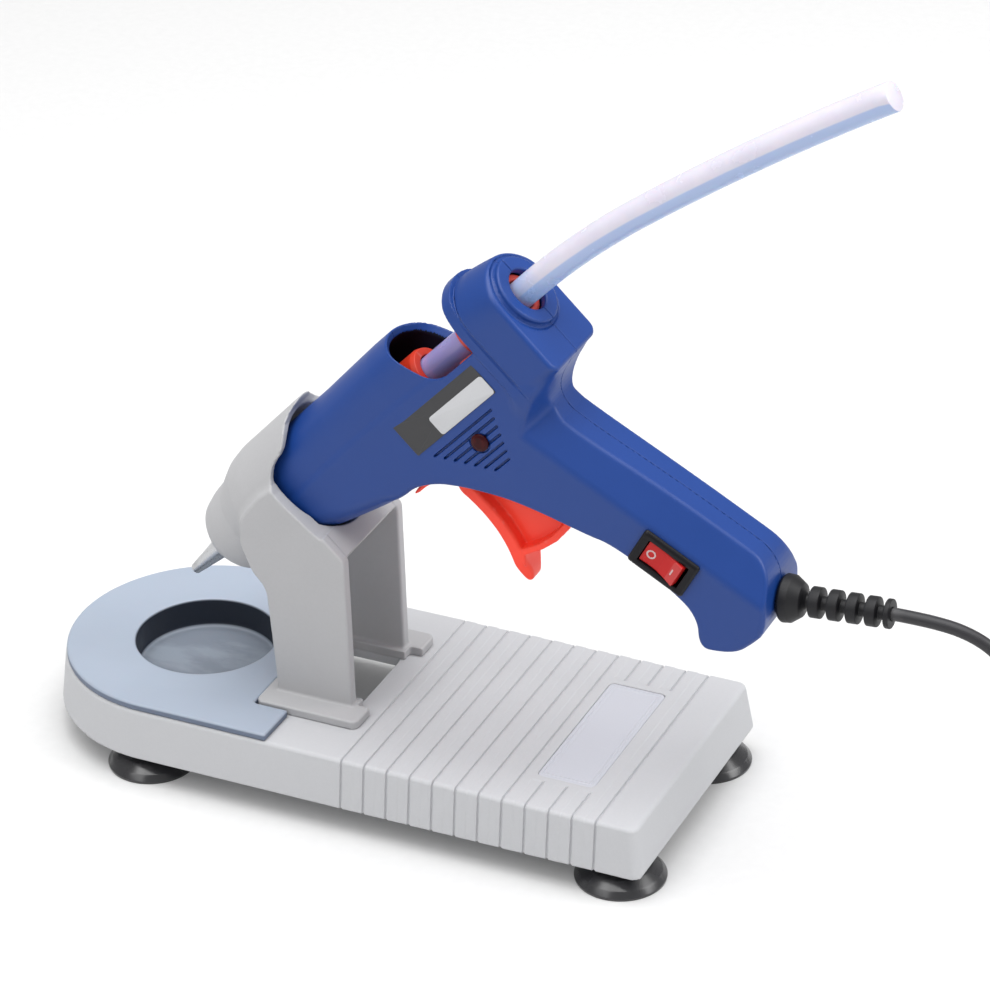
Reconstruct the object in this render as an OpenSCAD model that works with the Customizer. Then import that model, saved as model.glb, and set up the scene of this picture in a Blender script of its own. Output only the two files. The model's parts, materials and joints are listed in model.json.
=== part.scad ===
// Small hot glue gun resting nose-down in its stand.
// The stand is a weighted-look base on four suction cups, with a silicone drip
// dish at the nozzle end and an upright cradle. Millimetres, +Z up, the table
// at Z = 0, +X from the nozzle end towards the tail of the glue stick.

/* [Base] */
// Length of the base at its top face
base_len = 180; // [170:1:190]
// Width of the base at its top face
base_w = 76; // [72:1:80]
// Height of the base's side wall
base_h = 14; // [12:1:16]
// Height of the base's underside above the table
foot_h = 7; // [6:0.5:8]
// Number of grip grooves across the base
groove_count = 12; // [8:1:12]
// Distance from one grip groove to the next
groove_pitch = 6.5; // [6:0.1:6.5]
// Radius of the round drip dish
dish_r = 19; // [16:0.5:19]
// Rim radius of a suction cup
cup_r = 12; // [10:0.5:12]

/* [Gun] */
// Tilt of the gun's barrel above level, in degrees
gun_pitch = 46; // [45:0.5:47]
// Outer radius of the barrel
barrel_r = 14.2; // [14:0.1:14.3]
// Half of the gun body's thickness
body_half = 12; // [11.5:0.1:12]
// Wall of the gun's housing
wall = 2; // [1.8:0.1:2.2]
// Radius of the glue stick
stick_r = 3.75; // [3.5:0.05:3.8]

/* [Lead] */
// Diameter of the mains lead
cord_d = 3.4; // [3:0.1:3.4]
// Middle radius of the stored coil of lead
coil_r = 20; // [19:0.5:20.5]
// Radius of each round pin of the mains plug
pin_r = 2; // [2:0.1:2.4]

/* [Hidden] */
$fn = 48;
eps = 0.02;

// ---- Places that several parts share ----
top_z = foot_h + base_h;      // top face of the base
draft = 1.8;                  // how far the base's walls lean out at the bottom
base_r = base_w / 2;          // round nozzle end
dish_x = base_r;              // dish centre, from the base's nozzle end
cup_x = [36, 172];            // suction cup rows, from the nozzle end
cup_y = 29;
tip_x = 35.95;                // nozzle tip, from the base's nozzle end
tip_z = 22.55;                // nozzle tip, above the base's top face
stick_start = 58;             // glue stick's front end, along the barrel
stick_bend_u = 145.3;         // where the stick starts to droop
bend_r = [218, 726];          // radii of the stick's two bends
bend_a = [10, 6];             // their angles
rear_u = 142;                 // rear face of the housing

// Where the stick ends, in the (u, v) plane and from the base's nozzle end
bend_1 = [stick_bend_u + bend_r[0] * sin(bend_a[0]), bend_r[0] * (cos(bend_a[0]) - 1)];
bend_2 = bend_1 + bend_r[1] * [
    sin(bend_a[0] + bend_a[1]) - sin(bend_a[0]),
    cos(bend_a[0] + bend_a[1]) - cos(bend_a[0])
];
tail_a = gun_pitch - bend_a[0] - bend_a[1];
stick_max_x = tip_x + bend_2[0] * cos(gun_pitch) - bend_2[1] * sin(gun_pitch) + stick_r * sin(tail_a);

// The origin is under the middle of everything but the lead
mid_x = (stick_max_x - draft) / 2;

// Gun housing, seen from its left side: u along the barrel from the nozzle
// tip, v square to it, away from the trigger
housing = [
    [40, -12.4], [44, -13.8], [52, -15.8], [60, -17.6], [67, -19.2], [73, -19.9],
    [79, -19.5], [84, -19.6], [90, -22.5], [94, -26], [97, -29], [103, -36],
    [108, -44], [112, -51.5], [115, -57], [117.3, -60.5], [119.5, -67],
    [121.5, -75], [122.6, -82], [122.8, -86.5], [121.5, -90.5], [118.8, -93.5],
    [118, -95.6], [118.6, -97.6], [124.5, -102.3], [130, -102.8], [135, -102.6],
    [142.6, -95.2], [144.9, -91.5], [145.8, -87], [144.4, -81.5],
    [138.8, -61.5], [129.4, -32], [129.2, -27.5], [130.5, -24], [134, -20.5],
    [138, -18.5], [138, 0], [40, 0]
];
crease_top = [120, -25];      // where the handle's rear bevel starts
crease_end = [134.5, -78];
bevel_turn = 56;              // the bevel's face, turned from facing straight back
collar_half = 13.2;           // rear collar, half width
collar_u = [126.5, rear_u];
collar_low = -19.8;
collar_top = [13.4, 11];      // height of the collar's top, front and rear
nose_u = [28, 46];            // the housing's nose cone
nose_r = 9;
ring_r = [6.3, 9.7];          // raised ring round the stick's inlet
ring_h = 1.4;
window_u = 111.7;             // lower front corner of the sight window
window_v = -1.4;
window_lean = 27;             // lean of the window's front edge
pivot = [98, -22];            // trigger pin
pin_radius = 2;
slot_half = 5.6;              // half width of the trigger's slot
screw_spots = [[70, -13], [134.5, -15], [124.5, -55], [126, -95.5]];
boss_r = 2.8;
boss_foot = 3.6;              // radius of a boss where it meets the right wall
lamp = [109.3, -21];
lamp_r = 2.4;
switch_mid = [127.35, -73];
switch_a = 15;                // lean of the switch along the handle
bezel = [10.7, 16.6, 1.3];
switch_hole = [8.6, 13.6];
rocker_pivot_y = -10.2;
rocker_tilt = 9;              // each side of level
relief_x = 203.5;             // where the lead leaves the heel
relief_z = 53;
relief_lean = 3.75;

// Lead: along the table to a stored coil beside the base
coil_mid = [290, 30];         // from the nozzle end
coil_low = 0.7;               // the tie passes under the coil
coil_size = [10.4, 10.2];     // section of the coil, across and up
cord_route = [
    [232.8, 0, 76], [238, 0, 76.1], [244, 0.3, 75.8], [250, 0.8, 74.8],
    [256, 1.3, 72.4], [261, 1.8, 68.4], [265, 2.2, 63], [268, 2.5, 56],
    [269.5, 2.7, 48], [270, 2.8, 40], [270, 2.8, 32], [270.4, 2.8, 24],
    [271.6, 2.8, 17], [274, 2.8, 10.8], [278, 2.8, 5.6], [283, 2.8, 2.6],
    [287, 2.8, 1.8], [291, 2.8, 1.72]
];
lead_route = [[304, 6.4, 10], [308, 6.2, 9.6], [312, 6, 9], [316, 6, 8], [320, 6, 7.2], [323, 6, 6.9], [326, 6, 6.9]];
plug_at = [326.05, 6, 6.9];

// ---- Helpers ----
function unit(p) = p / norm(p);

// Closed outline moved inwards by d; its points run anticlockwise
function inset(p, d) = let (n = len(p)) [
    for (i = [0 : n - 1])
        let (
            e = unit(p[i] - p[(i + n - 1) % n]),
            f = unit(p[(i + 1) % n] - p[i]),
            m = [-e.y - f.y, e.x + f.x]
        )
        p[i] + m * d / (1 + e * f)
];

// Direction of a route at its point i
function heading(p, i) = unit(p[min(i + 1, len(p) - 1)] - p[max(i - 1, 0)]);

function side_axis(h) = unit(cross(h, abs(h.z) > 0.9 ? [0, 1, 0] : [0, 0, 1]));

// Round tube of radius r along a list of points
module tube(path, r, sides = 8) {
    n = len(path);
    points = [
        for (i = [0 : n - 1])
            let (h = heading(path, i), s = side_axis(h), t = cross(h, s))
            for (k = [0 : sides - 1])
                path[i] + r * (cos(360 * k / sides) * s + sin(360 * k / sides) * t)
    ];
    walls = [
        for (i = [0 : n - 2])
            for (k = [0 : sides - 1])
                let (a = i * sides + k, b = i * sides + (k + 1) % sides)
                for (face = [[a, a + sides, b], [b, a + sides, b + sides]])
                    face
    ];
    caps = [
        [for (k = [0 : sides - 1]) k],
        [for (k = [sides - 1 : -1 : 0]) (n - 1) * sides + k]
    ];
    polyhedron(points, concat(walls, caps));
}

// Points of a helix along +X, for a coil spring
function helix(x0, x1, r, turns, steps = 12) = [
    for (i = [0 : turns * steps])
        let (a = 360 * i / steps)
        [x0 + (x1 - x0) * i / (turns * steps), r * cos(a), r * sin(a)]
];

// From the nozzle end and the base's top face to the object's own frame
module on_base() {
    translate([-mid_x, 0, top_z]) children();
}

// From the nozzle end and the table to the object's own frame
module on_table() {
    translate([-mid_x, 0, 0]) children();
}

// Gun's own frame: X along the barrel from the nozzle tip, Z away from the trigger
module in_gun() {
    on_base() translate([tip_x, 0, tip_z]) rotate([0, -gun_pitch, 0]) children();
}

// Side-view outline pushed out to y = -half ... half
module slab(outline, half) {
    rotate([90, 0, 0]) linear_extrude(2 * half, center = true) polygon(outline);
}

// Cylinder along the barrel
module along(u0, u1, r, r_end = -1) {
    translate([u0, 0, 0]) rotate([0, 90, 0])
        cylinder(h = u1 - u0, r1 = r, r2 = r_end < 0 ? r : r_end);
}

// Cylinder across the gun from y0 to y1
module across(spot, y0, y1, r) {
    translate([spot[0], y0, spot[1]]) rotate([-90, 0, 0]) cylinder(h = y1 - y0, r = r);
}

// ---- Stand ----
// Outline of the base at one height, as a solid that leans out towards its bottom
module base_block(shrink, top) {
    r = base_r - shrink;
    h = base_h - top;
    low = draft;
    translate([dish_x, 0, -base_h]) cylinder(h = h, r1 = r + low, r2 = r + low * top / base_h, $fn = 96);
    intersection() {
        rotate([90, 0, 90]) linear_extrude(base_len + low) polygon([
            [-r - low, -base_h], [r + low, -base_h],
            [r + low * top / base_h, -top], [-r - low * top / base_h, -top]
        ]);
        rotate([90, 0, 0]) linear_extrude(base_w + 2 * low + 2, center = true) polygon([
            [dish_x, -base_h], [base_len + low - shrink, -base_h],
            [base_len - shrink + low * top / base_h, -top], [dish_x, -top]
        ]);
    }
}

panel = [146.5, 162.5, 24];   // name panel: near edge, far edge, half width
slot_x = [74, 90];            // opening between the cradle's legs
slot_y = 12.5;
cradle_screw_spots = [for (x = [69, 92], y = [-19, 19]) [x, y]];
base_top = 2.5;

module base_shell() {
    color("#cdced2") on_base() difference() {
        union() {
            difference() {
                base_block(0, 0);
                translate([0, 0, -eps]) base_block(2.2, base_top);
            }
            for (x = cup_x, y = [-cup_y, cup_y])
                translate([x, y, -base_h]) cylinder(h = base_h - 1, r = 6);
        }
        // Dish
        translate([dish_x, 0, -base_h]) cylinder(h = base_h + 1, r = dish_r + 1.6);
        // Blind holes for the suction cups' plugs
        for (x = cup_x, y = [-cup_y, cup_y])
            translate([x, y, -base_h - 1]) cylinder(h = 9, r = 3);
        // Grip grooves and the name panel's recess
        for (i = [0 : groove_count - 1])
            translate([97.2 + groove_pitch * i, -base_w, -0.7]) cube([0.8, 2 * base_w, 2]);
        translate([panel[0], -panel[2], -1]) cube([panel[1] - panel[0], 2 * panel[2], 2]);
        // Opening between the cradle's legs, and its screws
        translate([slot_x[0], -slot_y, -base_h]) cube([slot_x[1] - slot_x[0], 2 * slot_y, base_h + 1]);
        for (p = cradle_screw_spots)
            translate([p[0], p[1], -base_h]) cylinder(h = base_h + 1, r = 1.5);
    }
}

module name_plate() {
    color("#d7dae3") on_base() translate([panel[0] + 0.1, -panel[2] + 0.1, -1])
        cube([panel[1] - panel[0] - 0.2, 2 * panel[2] - 0.2, 0.8]);
}

pad_t = 2;
pad_x = [65.3, 75.5];
pad_notch = 24.5;

module drip_pad() {
    color("#bcc8d8") on_base() difference() {
        union() {
            difference() {
                union() {
                    translate([dish_x, 0, 0]) cylinder(h = pad_t, r = base_r - 0.3, $fn = 96);
                    translate([dish_x, -base_r + 0.3, 0]) cube([pad_x[1] - dish_x, base_w - 0.6, pad_t]);
                }
                translate([pad_x[0] - 0.2, -pad_notch, -1]) cube([20, 2 * pad_notch, pad_t + 2]);
            }
            translate([dish_x, 0, -8]) cylinder(h = 8 + pad_t, r = dish_r + 1.4);
        }
        translate([dish_x, 0, -6.5]) cylinder(h = 20, r = dish_r);
    }
}

leg_y = [14.2, 17.4];         // inner and outer face of a cradle leg
flange = [65.4, 95, 24, 2.5]; // foot plate: near edge, far edge, half width, thickness
foot_open = [91.4, 15.8];     // the plate's rear opening: near edge, half width
cup_gap = 0.4;                // play between the gun's barrel and the cradle
cup_t = 2;
// Cradle cup's outside and inside, as (distance from the nozzle tip, radius)
cup_outside = [[14, 4.6], [17, 8], [20, 11], [25, 12.3], [30, 13], [33, 14.2], [37, 15.7], [42, 16.4], [68, 16.8]];
cup_inside = [[68, 14.7], [46, 14.7], [28, 9.6], [23, 8.6], [19, 6.5], [14, 3.4]];
leg_outline = [
    [68.5, 0], [90.5, 0], [90, 46], [82.4, 53.2], [70.5, 63.6], [66, 60], [60, 52],
    [59.5, 45], [62.8, 37], [66.6, 33], [68.5, 6]
];
// Saddle between the legs, under the barrel's flare
saddle = [[43, -10], [54, -10], [54, -22], [52, -22.3], [43, -17]];
// Wavy mouth: the cup reaches far back only above the barrel
mouth = [
    [52.4, -2.4], [52.3, 4.1], [53.8, 6.6], [56.3, 8.4], [60.5, 9.2], [62.6, 11.5],
    [64, 14.8], [67.5, 16.4], [69, 18], [80, 18], [80, -14.6], [54, -14.6], [53.2, -12]
];

module cradle_bracket() {
    color("#bcbcc0") difference() {
        union() {
            on_base() {
                // Legs
                for (side = [-1, 1])
                    translate([0, side * (leg_y[0] + leg_y[1]) / 2, 0])
                        slab(leg_outline, (leg_y[1] - leg_y[0]) / 2);
                // Foot plate
                translate([flange[0], -flange[2], 0])
                    cube([flange[1] - flange[0], 2 * flange[2], flange[3]]);
            }
            in_gun() {
                rotate([0, 90, 0]) rotate_extrude($fn = 96)
                    polygon([for (p = concat(cup_outside, cup_inside)) [p[1], p[0]]]);
                slab(saddle, leg_y[0] + eps);
            }
        }
        in_gun() {
            slab(mouth, 30);
            intersection() {
                flare(0.5);
                slab([[42, -26], [80, -26], [80, -6], [42, -6]], body_half + 0.5);
            }
        }
        // The foot plate is open towards the rear, between the legs
        on_base() translate([slot_x[0], -slot_y, -1]) cube([flange[1] + 1 - slot_x[0], 2 * slot_y, 10]);
        on_base() translate([foot_open[0], -foot_open[1], -1])
            cube([flange[1] + 1 - foot_open[0], 2 * foot_open[1], 10]);
        on_base() for (p = cradle_screw_spots)
            translate([p[0], p[1], -1]) cylinder(h = 3, r = 1.3);
    }
}

module cradle_screws() {
    color("#8f9296") on_base() for (p = cradle_screw_spots) {
        translate([p[0], p[1], -base_top - 2.1]) cylinder(h = 2, r = 2.8);
        translate([p[0], p[1], -base_top - 0.5]) cylinder(h = base_top + 2.4, r = 1.25);
    }
}

// Suction cup: a plug in the base, a neck and a flared, hollow lip
module suction_cup(x, y) {
    color("#303032") on_table() translate([x, y, 0]) rotate_extrude() polygon([
        [cup_r, 0], [cup_r, 0.7], [cup_r - 1.2, 2.2], [cup_r - 3.6, 4], [5.4, 5.4],
        [4.6, foot_h], [2.95, foot_h], [2.95, foot_h + 6], [0, foot_h + 6],
        [0, 3.2], [4, 2.9], [cup_r - 3, 1.5], [cup_r - 1.4, 0]
    ]);
}

module suction_cup_front_left() { suction_cup(cup_x[0], -cup_y); }

module suction_cup_front_right() { suction_cup(cup_x[0], cup_y); }

module suction_cup_rear_left() { suction_cup(cup_x[1], -cup_y); }

module suction_cup_rear_right() { suction_cup(cup_x[1], cup_y); }

// ---- Gun housing ----
// Rear collar, grown or shrunk by d: half round on top, flat below
module collar(u0, u1, d) {
    intersection() {
        along(u0, u1, barrel_r - 0.4 + d, barrel_r - 0.4 + d, $fn = 96);
        slab([[u0, 0], [u1, 0], [u1, collar_top[1] + d], [u0, collar_top[0] + d]], collar_half + d);
    }
    translate([u0, -collar_half - d, collar_low - d])
        cube([u1 - u0, 2 * (collar_half + d), -collar_low + d + eps]);
}

module handle_bevels() {
    lean = atan2(crease_end[0] - crease_top[0], crease_top[1] - crease_end[1]);
    for (side = [-1, 1])
        translate([crease_top[0], side * body_half, crease_top[1]]) rotate([0, -lean, 0])
            rotate([0, 0, side * bevel_turn]) translate([0, -20, -100]) cube([30, 40, 101]);
}

// Round limit of the housing's lower corners, as (radius, distance from the
// nozzle tip); it opens out towards the trigger
flare_line = [
    [10, 30], [12.4, 40], [14, 44], [15.9, 52], [17.8, 60], [20.6, 73], [27, 88],
    [140, 92], [140, 150]
];

module flare(grow = 0) {
    rotate([0, 90, 0]) rotate_extrude($fn = 96)
        polygon(concat([[0, 30]], [for (p = flare_line) p + [grow, 0]], [[0, 150]]));
}

module housing_block() {
    difference() {
        union() {
            intersection() {
                union() {
                    along(nose_u[0], nose_u[1], nose_r, barrel_r, $fn = 96);
                    along(nose_u[1], collar_u[0] + 2, barrel_r, $fn = 96);
                }
                translate([0, -body_half, -30]) cube([150, 2 * body_half, 60]);
            }
            intersection() {
                slab(housing, body_half);
                flare();
            }
        }
        handle_bevels();
    }
    collar(collar_u[0], collar_u[1], 0);
    along(rear_u - 1, rear_u + ring_h, ring_r[1]);
}

// Hollow of the housing
module housing_hollow() {
    half = body_half - wall;
    intersection() {
        union() {
            along(nose_u[0] + 3, nose_u[1], nose_r - 1, barrel_r - wall);
            along(nose_u[1], collar_u[0] + 1, barrel_r - wall);
        }
        translate([0, -half, -30]) cube([150, 2 * half, 60]);
    }
    difference() {
        intersection() {
            slab(inset(housing, wall), half);
            translate([wall / 2, 0, 0]) flare();
        }
        translate([-1.5 * wall, 0, 0]) handle_bevels();
    }
    collar(collar_u[0], collar_u[1] - wall, -wall);
}

// Cross walls and bosses inside the housing
module housing_ribs() {
    for (u = [[40, 42], [86, 88]])
        intersection() {
            slab(housing, body_half - 0.5);
            flare();
            translate([u[0], -20, -30]) cube([u[1] - u[0], 40, 60]);
        }
    for (u = [[40, 42], [86, 88]])
        intersection() {
            along(u[0], u[1], barrel_r - 3.5);
            translate([0, -body_half + 1, -20]) cube([150, 2 * body_half - 2, 40]);
        }
    translate([127.5, -collar_half + 1, -6.8]) cube([2, 2 * collar_half - 2, 17]);
    for (p = screw_spots) {
        across(p, -body_half + 0.6, body_half - 0.6, boss_r);
        across(p, body_half - 3.6, body_half - 1, boss_foot);
    }
    for (side = [-1, 1])
        across(pivot, side < 0 ? -body_half + 1 : 5, side < 0 ? -5 : body_half - 1, 3.8);
}

trigger_slot = [
    [76, -18], [84, -18], [92, -20.5], [100, -24], [118, -50], [115.5, -55.6],
    [76, -56], [74, -24]
];

module housing_cuts() {
    // Bore for the heater barrel, the sleeve, the carriage and the stick
    along(nose_u[0] - 1, nose_u[0] + 6, 6.9);
    along(39, 43, 6.3);
    along(85, 89, 6.65);
    along(126, rear_u + 3, ring_r[0]);
    // Sight window on top, in front of the collar
    slab([
        [window_u, window_v], [collar_u[0], window_v], [collar_u[0], 20],
        [window_u - (20 - window_v) * tan(window_lean), 20]
    ], 20);
    // Trigger's slot
    slab(trigger_slot, slot_half);
    // Pin and screws
    across(pivot, -9.2, 9.2, pin_radius + 0.02);
    for (p = screw_spots) {
        across(p, -body_half + 2, 0.5, 1.3);
        across(p, 0, body_half + 1, 1.5);
        across(p, body_half - 2.2, body_half + 3, 2.8);
    }
    // Way for the heater's leads through the rear rib
    translate([84, -6, -12]) cube([6, 12, 5.6]);
}

// Everything that only the left side has: lamp, switch and vent grooves
module left_cuts() {
    across(lamp, -body_half - 1, -body_half + 3, lamp_r - 0.4);
    translate([switch_mid[0], -body_half - 1, switch_mid[1]]) rotate([0, -switch_a, 0])
        translate([-switch_hole[0] / 2, 0, -switch_hole[1] / 2]) cube([switch_hole[0], 11, switch_hole[1]]);
    for (i = [0 : 6])
        translate([95.5 + 1.9 * i, -body_half - 1, -16.9 - 2.05 * i])
            cube([23.5 - 2.9 * i, 1.9, 0.8]);
}

module relief_hole() {
    on_base() translate([relief_x, 0, relief_z]) rotate([0, 90 - relief_lean, 0])
        translate([0, 0, -8]) cylinder(h = 16, r = 4.05);
}

// Half of the housing: side is -1 for the left shell and 1 for the right
module shell_half(side) {
    difference() {
        in_gun() intersection() {
            difference() {
                union() {
                    difference() {
                        housing_block();
                        housing_hollow();
                    }
                    housing_ribs();
                }
                housing_cuts();
                if (side < 0) left_cuts();
            }
            translate([0, side < 0 ? -30 : 0, -120]) cube([160, 30, 150]);
        }
        relief_hole();
    }
}

module left_shell() { color("#344d8f") shell_half(-1); }

module right_shell() { color("#3a5da2") shell_half(1); }

module shell_screws() {
    color("#9b9ea2") in_gun() for (p = screw_spots) {
        across(p, body_half - 2.15, body_half - 0.4, 2.6);
        across(p, -8, body_half - 1, 1.25);
    }
}

// ---- Heater barrel ----
module nozzle() {
    color("#b6b7b8") in_gun() difference() {
        union() {
            along(0, 14, 1.45, 3.1);
            along(14, 22, 3.1, 5);
            along(22, 27, 5.6);
            along(27, 38, 3.9);
        }
        along(-1, 4, 0.75);
        along(3.5, 22, 1.2);
        along(21.5, 40, 2.2);
    }
}

module valve_ball() {
    color("#c8cacc") in_gun() translate([23.8, 0, 0]) sphere(r = 1.9);
}

module valve_spring() {
    color("#c8cacc") in_gun() tube(helix(26.2, 37.2, 1.75, 6), 0.22, 6);
}

module melt_chamber() {
    color("#bfc1c3") in_gun() difference() {
        along(29.5, 84, 6.2);
        along(29, 38.2, 3.95);
        along(38, 47, 2.6);
        along(46.5, 85, stick_r + 0.25);
        // Flat seat for the heater
        translate([60, -8, -8]) cube([22, 16, 8 - 5.6]);
    }
}

module chamber_ring() {
    color("#8a5a3c") in_gun() difference() {
        along(31.5, 34.5, 8);
        along(31, 35, 6.25);
    }
}

module ptc_heater() {
    color("#6f7072") in_gun() translate([61, -4, -8.6]) cube([20, 8, 3]);
}

module heater_clip() {
    color("#d0d2d4") in_gun() difference() {
        union() {
            along(64, 78, 7);
            translate([64, -7, -9.6]) cube([14, 14, 9.6]);
        }
        along(63, 79, 6.25);
        translate([63, -6.25, -8.65]) cube([16, 12.5, 8.65]);
    }
}

module inlet_sleeve() {
    color("#c93a2b") in_gun() difference() {
        along(79, 105, 6.6);
        along(78, 84.05, 6.22);
        along(84, 106, stick_r + 0.35);
        // Clearance behind the heater
        translate([78, -8, -9]) cube([4, 16, 3.4]);
    }
}

// ---- Small parts on the left side ----
module indicator_lens() {
    color("#5a1c20") in_gun() {
        across(lamp, -body_half - 0.6, -body_half, lamp_r);
        across(lamp, -body_half - 0.1, -body_half + 2.6, lamp_r - 0.45);
    }
}

module indicator_lamp() {
    color("#e8e4da") in_gun() across(lamp, -body_half + 2.7, -body_half + 8, 1.6);
}

module rating_label() {
    color("#444446") in_gun() translate([92, -body_half - 0.25, -13.8]) cube([31.7, 0.25, 10.1]);
}

module at_switch() {
    in_gun() translate([switch_mid[0], 0, switch_mid[1]]) rotate([0, -switch_a, 0]) children();
}

module switch_body() {
    color("#343034") at_switch() difference() {
        union() {
            translate([-bezel[0] / 2, -body_half - bezel[2], -bezel[1] / 2]) cube([bezel[0], bezel[2], bezel[1]]);
            translate([-4.2, -body_half - 0.2, -6.7]) cube([8.4, 9.7, 13.4]);
        }
        translate([-3.5, -body_half - 3, -6]) cube([7, 9.5, 12]);
    }
}

module switch_terminals() {
    color("#c8a24a") at_switch() for (z = [-4.4, 0, 4.4])
        translate([-1.6, -body_half + 9.5, z - 0.3]) cube([3.2, 5.5, 0.6]);
}

// Paddle with a shallow valley across it, resting with its upper end down
module switch_rocker() {
    color("#c8322f") at_switch() translate([0, rocker_pivot_y, 0]) rotate([-rocker_tilt, 0, 0]) difference() {
        rotate([0, 90, 0]) linear_extrude(6.6, center = true) polygon([
            [-5.3, -3.4], [0, -2.5], [5.3, -3.4], [5.5, -1], [3.4, 1.6], [-3.4, 1.6], [-5.5, -1]
        ]);
        rotate([0, 90, 0]) cylinder(h = 10, r = 0.8, center = true);
    }
}

// ---- Feed ----
finger_strip = [
    [88.3, -26.5], [89.3, -33], [89.2, -40], [88, -46], [85.5, -51.5], [83, -55],
    [85, -55.2], [87.5, -54], [90.8, -49.5], [92.4, -44], [93, -38], [92.8, -31], [92.2, -25]
];
trigger_tongue = [
    [88.3, -26.5], [85, -22.8], [82, -21.7], [77.2, -21.7], [76.8, -20.8],
    [83, -20.3], [88, -21.2], [92.2, -25]
];
arm_end = pivot + [0, 12.4];
trigger_web = [
    [90, -49], [92.8, -31], [92, -25], [94.5, -20.5], [97, -12.5], [97.1, -9.6], [98.9, -9.6], [99, -12.5], [101.5, -20],
    [104, -27], [108.5, -38], [112.3, -50.8], [106.5, -52.8], [101, -53.4], [96, -52.8], [90.5, -51.2]
];
trigger_floor = [
    [88, -53.4], [90.5, -51.2], [96, -52.8], [101, -53.4], [106.5, -52.8], [112.3, -50.8],
    [111.6, -48.9], [106.2, -50.9], [101, -51.4], [96.3, -50.9], [90.8, -49.3]
];

module trigger() {
    color("#fb493a") in_gun() difference() {
        union() {
            slab(finger_strip, 5);
            slab(trigger_tongue, 4.6);
            slab(trigger_web, 1.6);
            slab(trigger_floor, 5);
            across(pivot, -4.8, 4.8, 4);
            across(arm_end, -1.6, 1.6, 1.65);
        }
        across(pivot, -6, 6, pin_radius + 0.05);
    }
}

module trigger_pin() {
    color("#c8cacc") in_gun() across(pivot, -9, 9, pin_radius);
}

module feed_carriage() {
    color("#d8402f") in_gun() difference() {
        union() {
            along(115.5, 140.8, 6);
            translate([93.5, -2, -11]) cube([27.5, 4, 4.2]);
            translate([115.5, -2, -8]) cube([5.5, 4, 3]);
        }
        along(115, 142, stick_r + 0.35);
        // Ahead of the collar only its lower part is left
        translate([115, -7, -3]) cube([6, 14, 10]);
        // Hook for the trigger's arm, open below
        translate([96.2, -3, -12]) cube([3.6, 6, 4.4]);
        // Pocket for the jaw
        translate([122, -1.6, -7]) cube([4, 3.2, 3.5]);
    }
}

module grip_jaw() {
    color("#d0d2d4") in_gun() translate([122.1, -1.5, -5.9]) cube([3.8, 3, 1.75]);
}

module return_spring() {
    color("#d0d2d4") in_gun() translate([0, 0, -9.2]) tube(helix(121.3, 134.5, 1.5, 8), 0.25, 6);
}

module glue_stick_bend(r_bend, angle) {
    translate([0, 0, -r_bend]) rotate([90, 0, 0]) rotate([0, 0, 90 - angle])
        rotate_extrude(angle = angle, $fn = 360) translate([r_bend, 0]) circle(stick_r, $fn = 32);
}

module glue_stick() {
    color("#eef1fa") in_gun() {
        along(stick_start, stick_bend_u, stick_r);
        translate([stick_bend_u, 0, 0]) glue_stick_bend(bend_r[0], bend_a[0]);
        translate([bend_1[0], 0, bend_1[1]]) rotate([0, bend_a[0], 0])
            glue_stick_bend(bend_r[1], bend_a[1]);
    }
}

// ---- Wiring ----
module heater_leads() {
    color("#d9d4c6") in_gun() for (side = [-1, 1])
        tube([
            [81.7, side * 2.6, -7.6], [84, side * 4, -9], [87, side * 4.6, -10], [91, side * 6.6, -11.6],
            [100, side * 8.2, -16], [105, side * 8.2, -23], [112, side * 8.2, -34],
            [117.5, side * 8.2, -46], [119.5, side * 7.6, -53], [121.2, side * 5.6, -60],
            [124, 0.4 + side * 2.8, -64], [125.6, 0.8 + side * 1.6, -67.2]
        ], 0.7, 6);
}

module mains_leads() {
    color("#3c3c40") in_gun() for (side = [-1, 1])
        tube([
            [128.9, 1.2 + side * 1.2, -78.9], [130.6, 1.4 + side * 1.6, -83], [131.5, 1.2 + side * 1.6, -88],
            [132, 0.4 + side * 1.2, -92], [133, side * 1.1, -95.2]
        ], 0.8, 6);
}

module cord_clamp() {
    color("#3a5da2") in_gun() translate([128.2, -8.4, -90.3]) difference() {
        cube([8, 4, 3]);
        translate([4, -1, 1.5]) rotate([-90, 0, 0]) cylinder(h = 6, r = 1);
    }
}

module strain_relief() {
    color("#2d2c31") on_base() translate([relief_x, 0, relief_z]) rotate([0, 90 - relief_lean, 0])
        difference() {
            rotate_extrude() polygon([
                [0, -4.6], [4.6, -4.6], [4.6, -3], [4, -3], [4, 0.7], [7.4, 0.9], [7.4, 4],
                [5.6, 7.2], [3, 7.4], [2.4, 8.2],
                for (i = [0 : 3])
                    let (s = 8.4 + 5 * i)
                    for (p = [[2.4, s], [4.75 - 0.1 * i, s + 0.2], [4.75 - 0.1 * i, s + 3.6], [2.4, s + 3.8]])
                        p,
                [2.4, 27.7], [4.4, 27.9], [4.4, 29.2], [0, 29.3]
            ]);
            translate([0, 0, -6]) cylinder(h = 3, r = 3);
        }
}

// ---- Lead and plug ----
module power_cord() {
    color("#2d2c31") on_table() tube(cord_route, cord_d / 2);
}

module at_coil() {
    on_table() translate([coil_mid[0], coil_mid[1], 0]) children();
}

module cord_coil() {
    color("#2d2c31") at_coil() rotate_extrude($fn = 96) translate([coil_r - coil_size[0] / 2, coil_low])
        square(coil_size);
}

module cord_tie() {
    color("#1f1f22") at_coil() translate([-2.5, coil_r - coil_size[0] / 2 - 0.9, 0]) difference() {
        cube([5, coil_size[0] + 1.8, coil_size[1] + 1.3]);
        translate([-1, 0.4, coil_low - 0.1]) cube([7, coil_size[0] + 1, coil_size[1] + 0.2]);
    }
}

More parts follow.
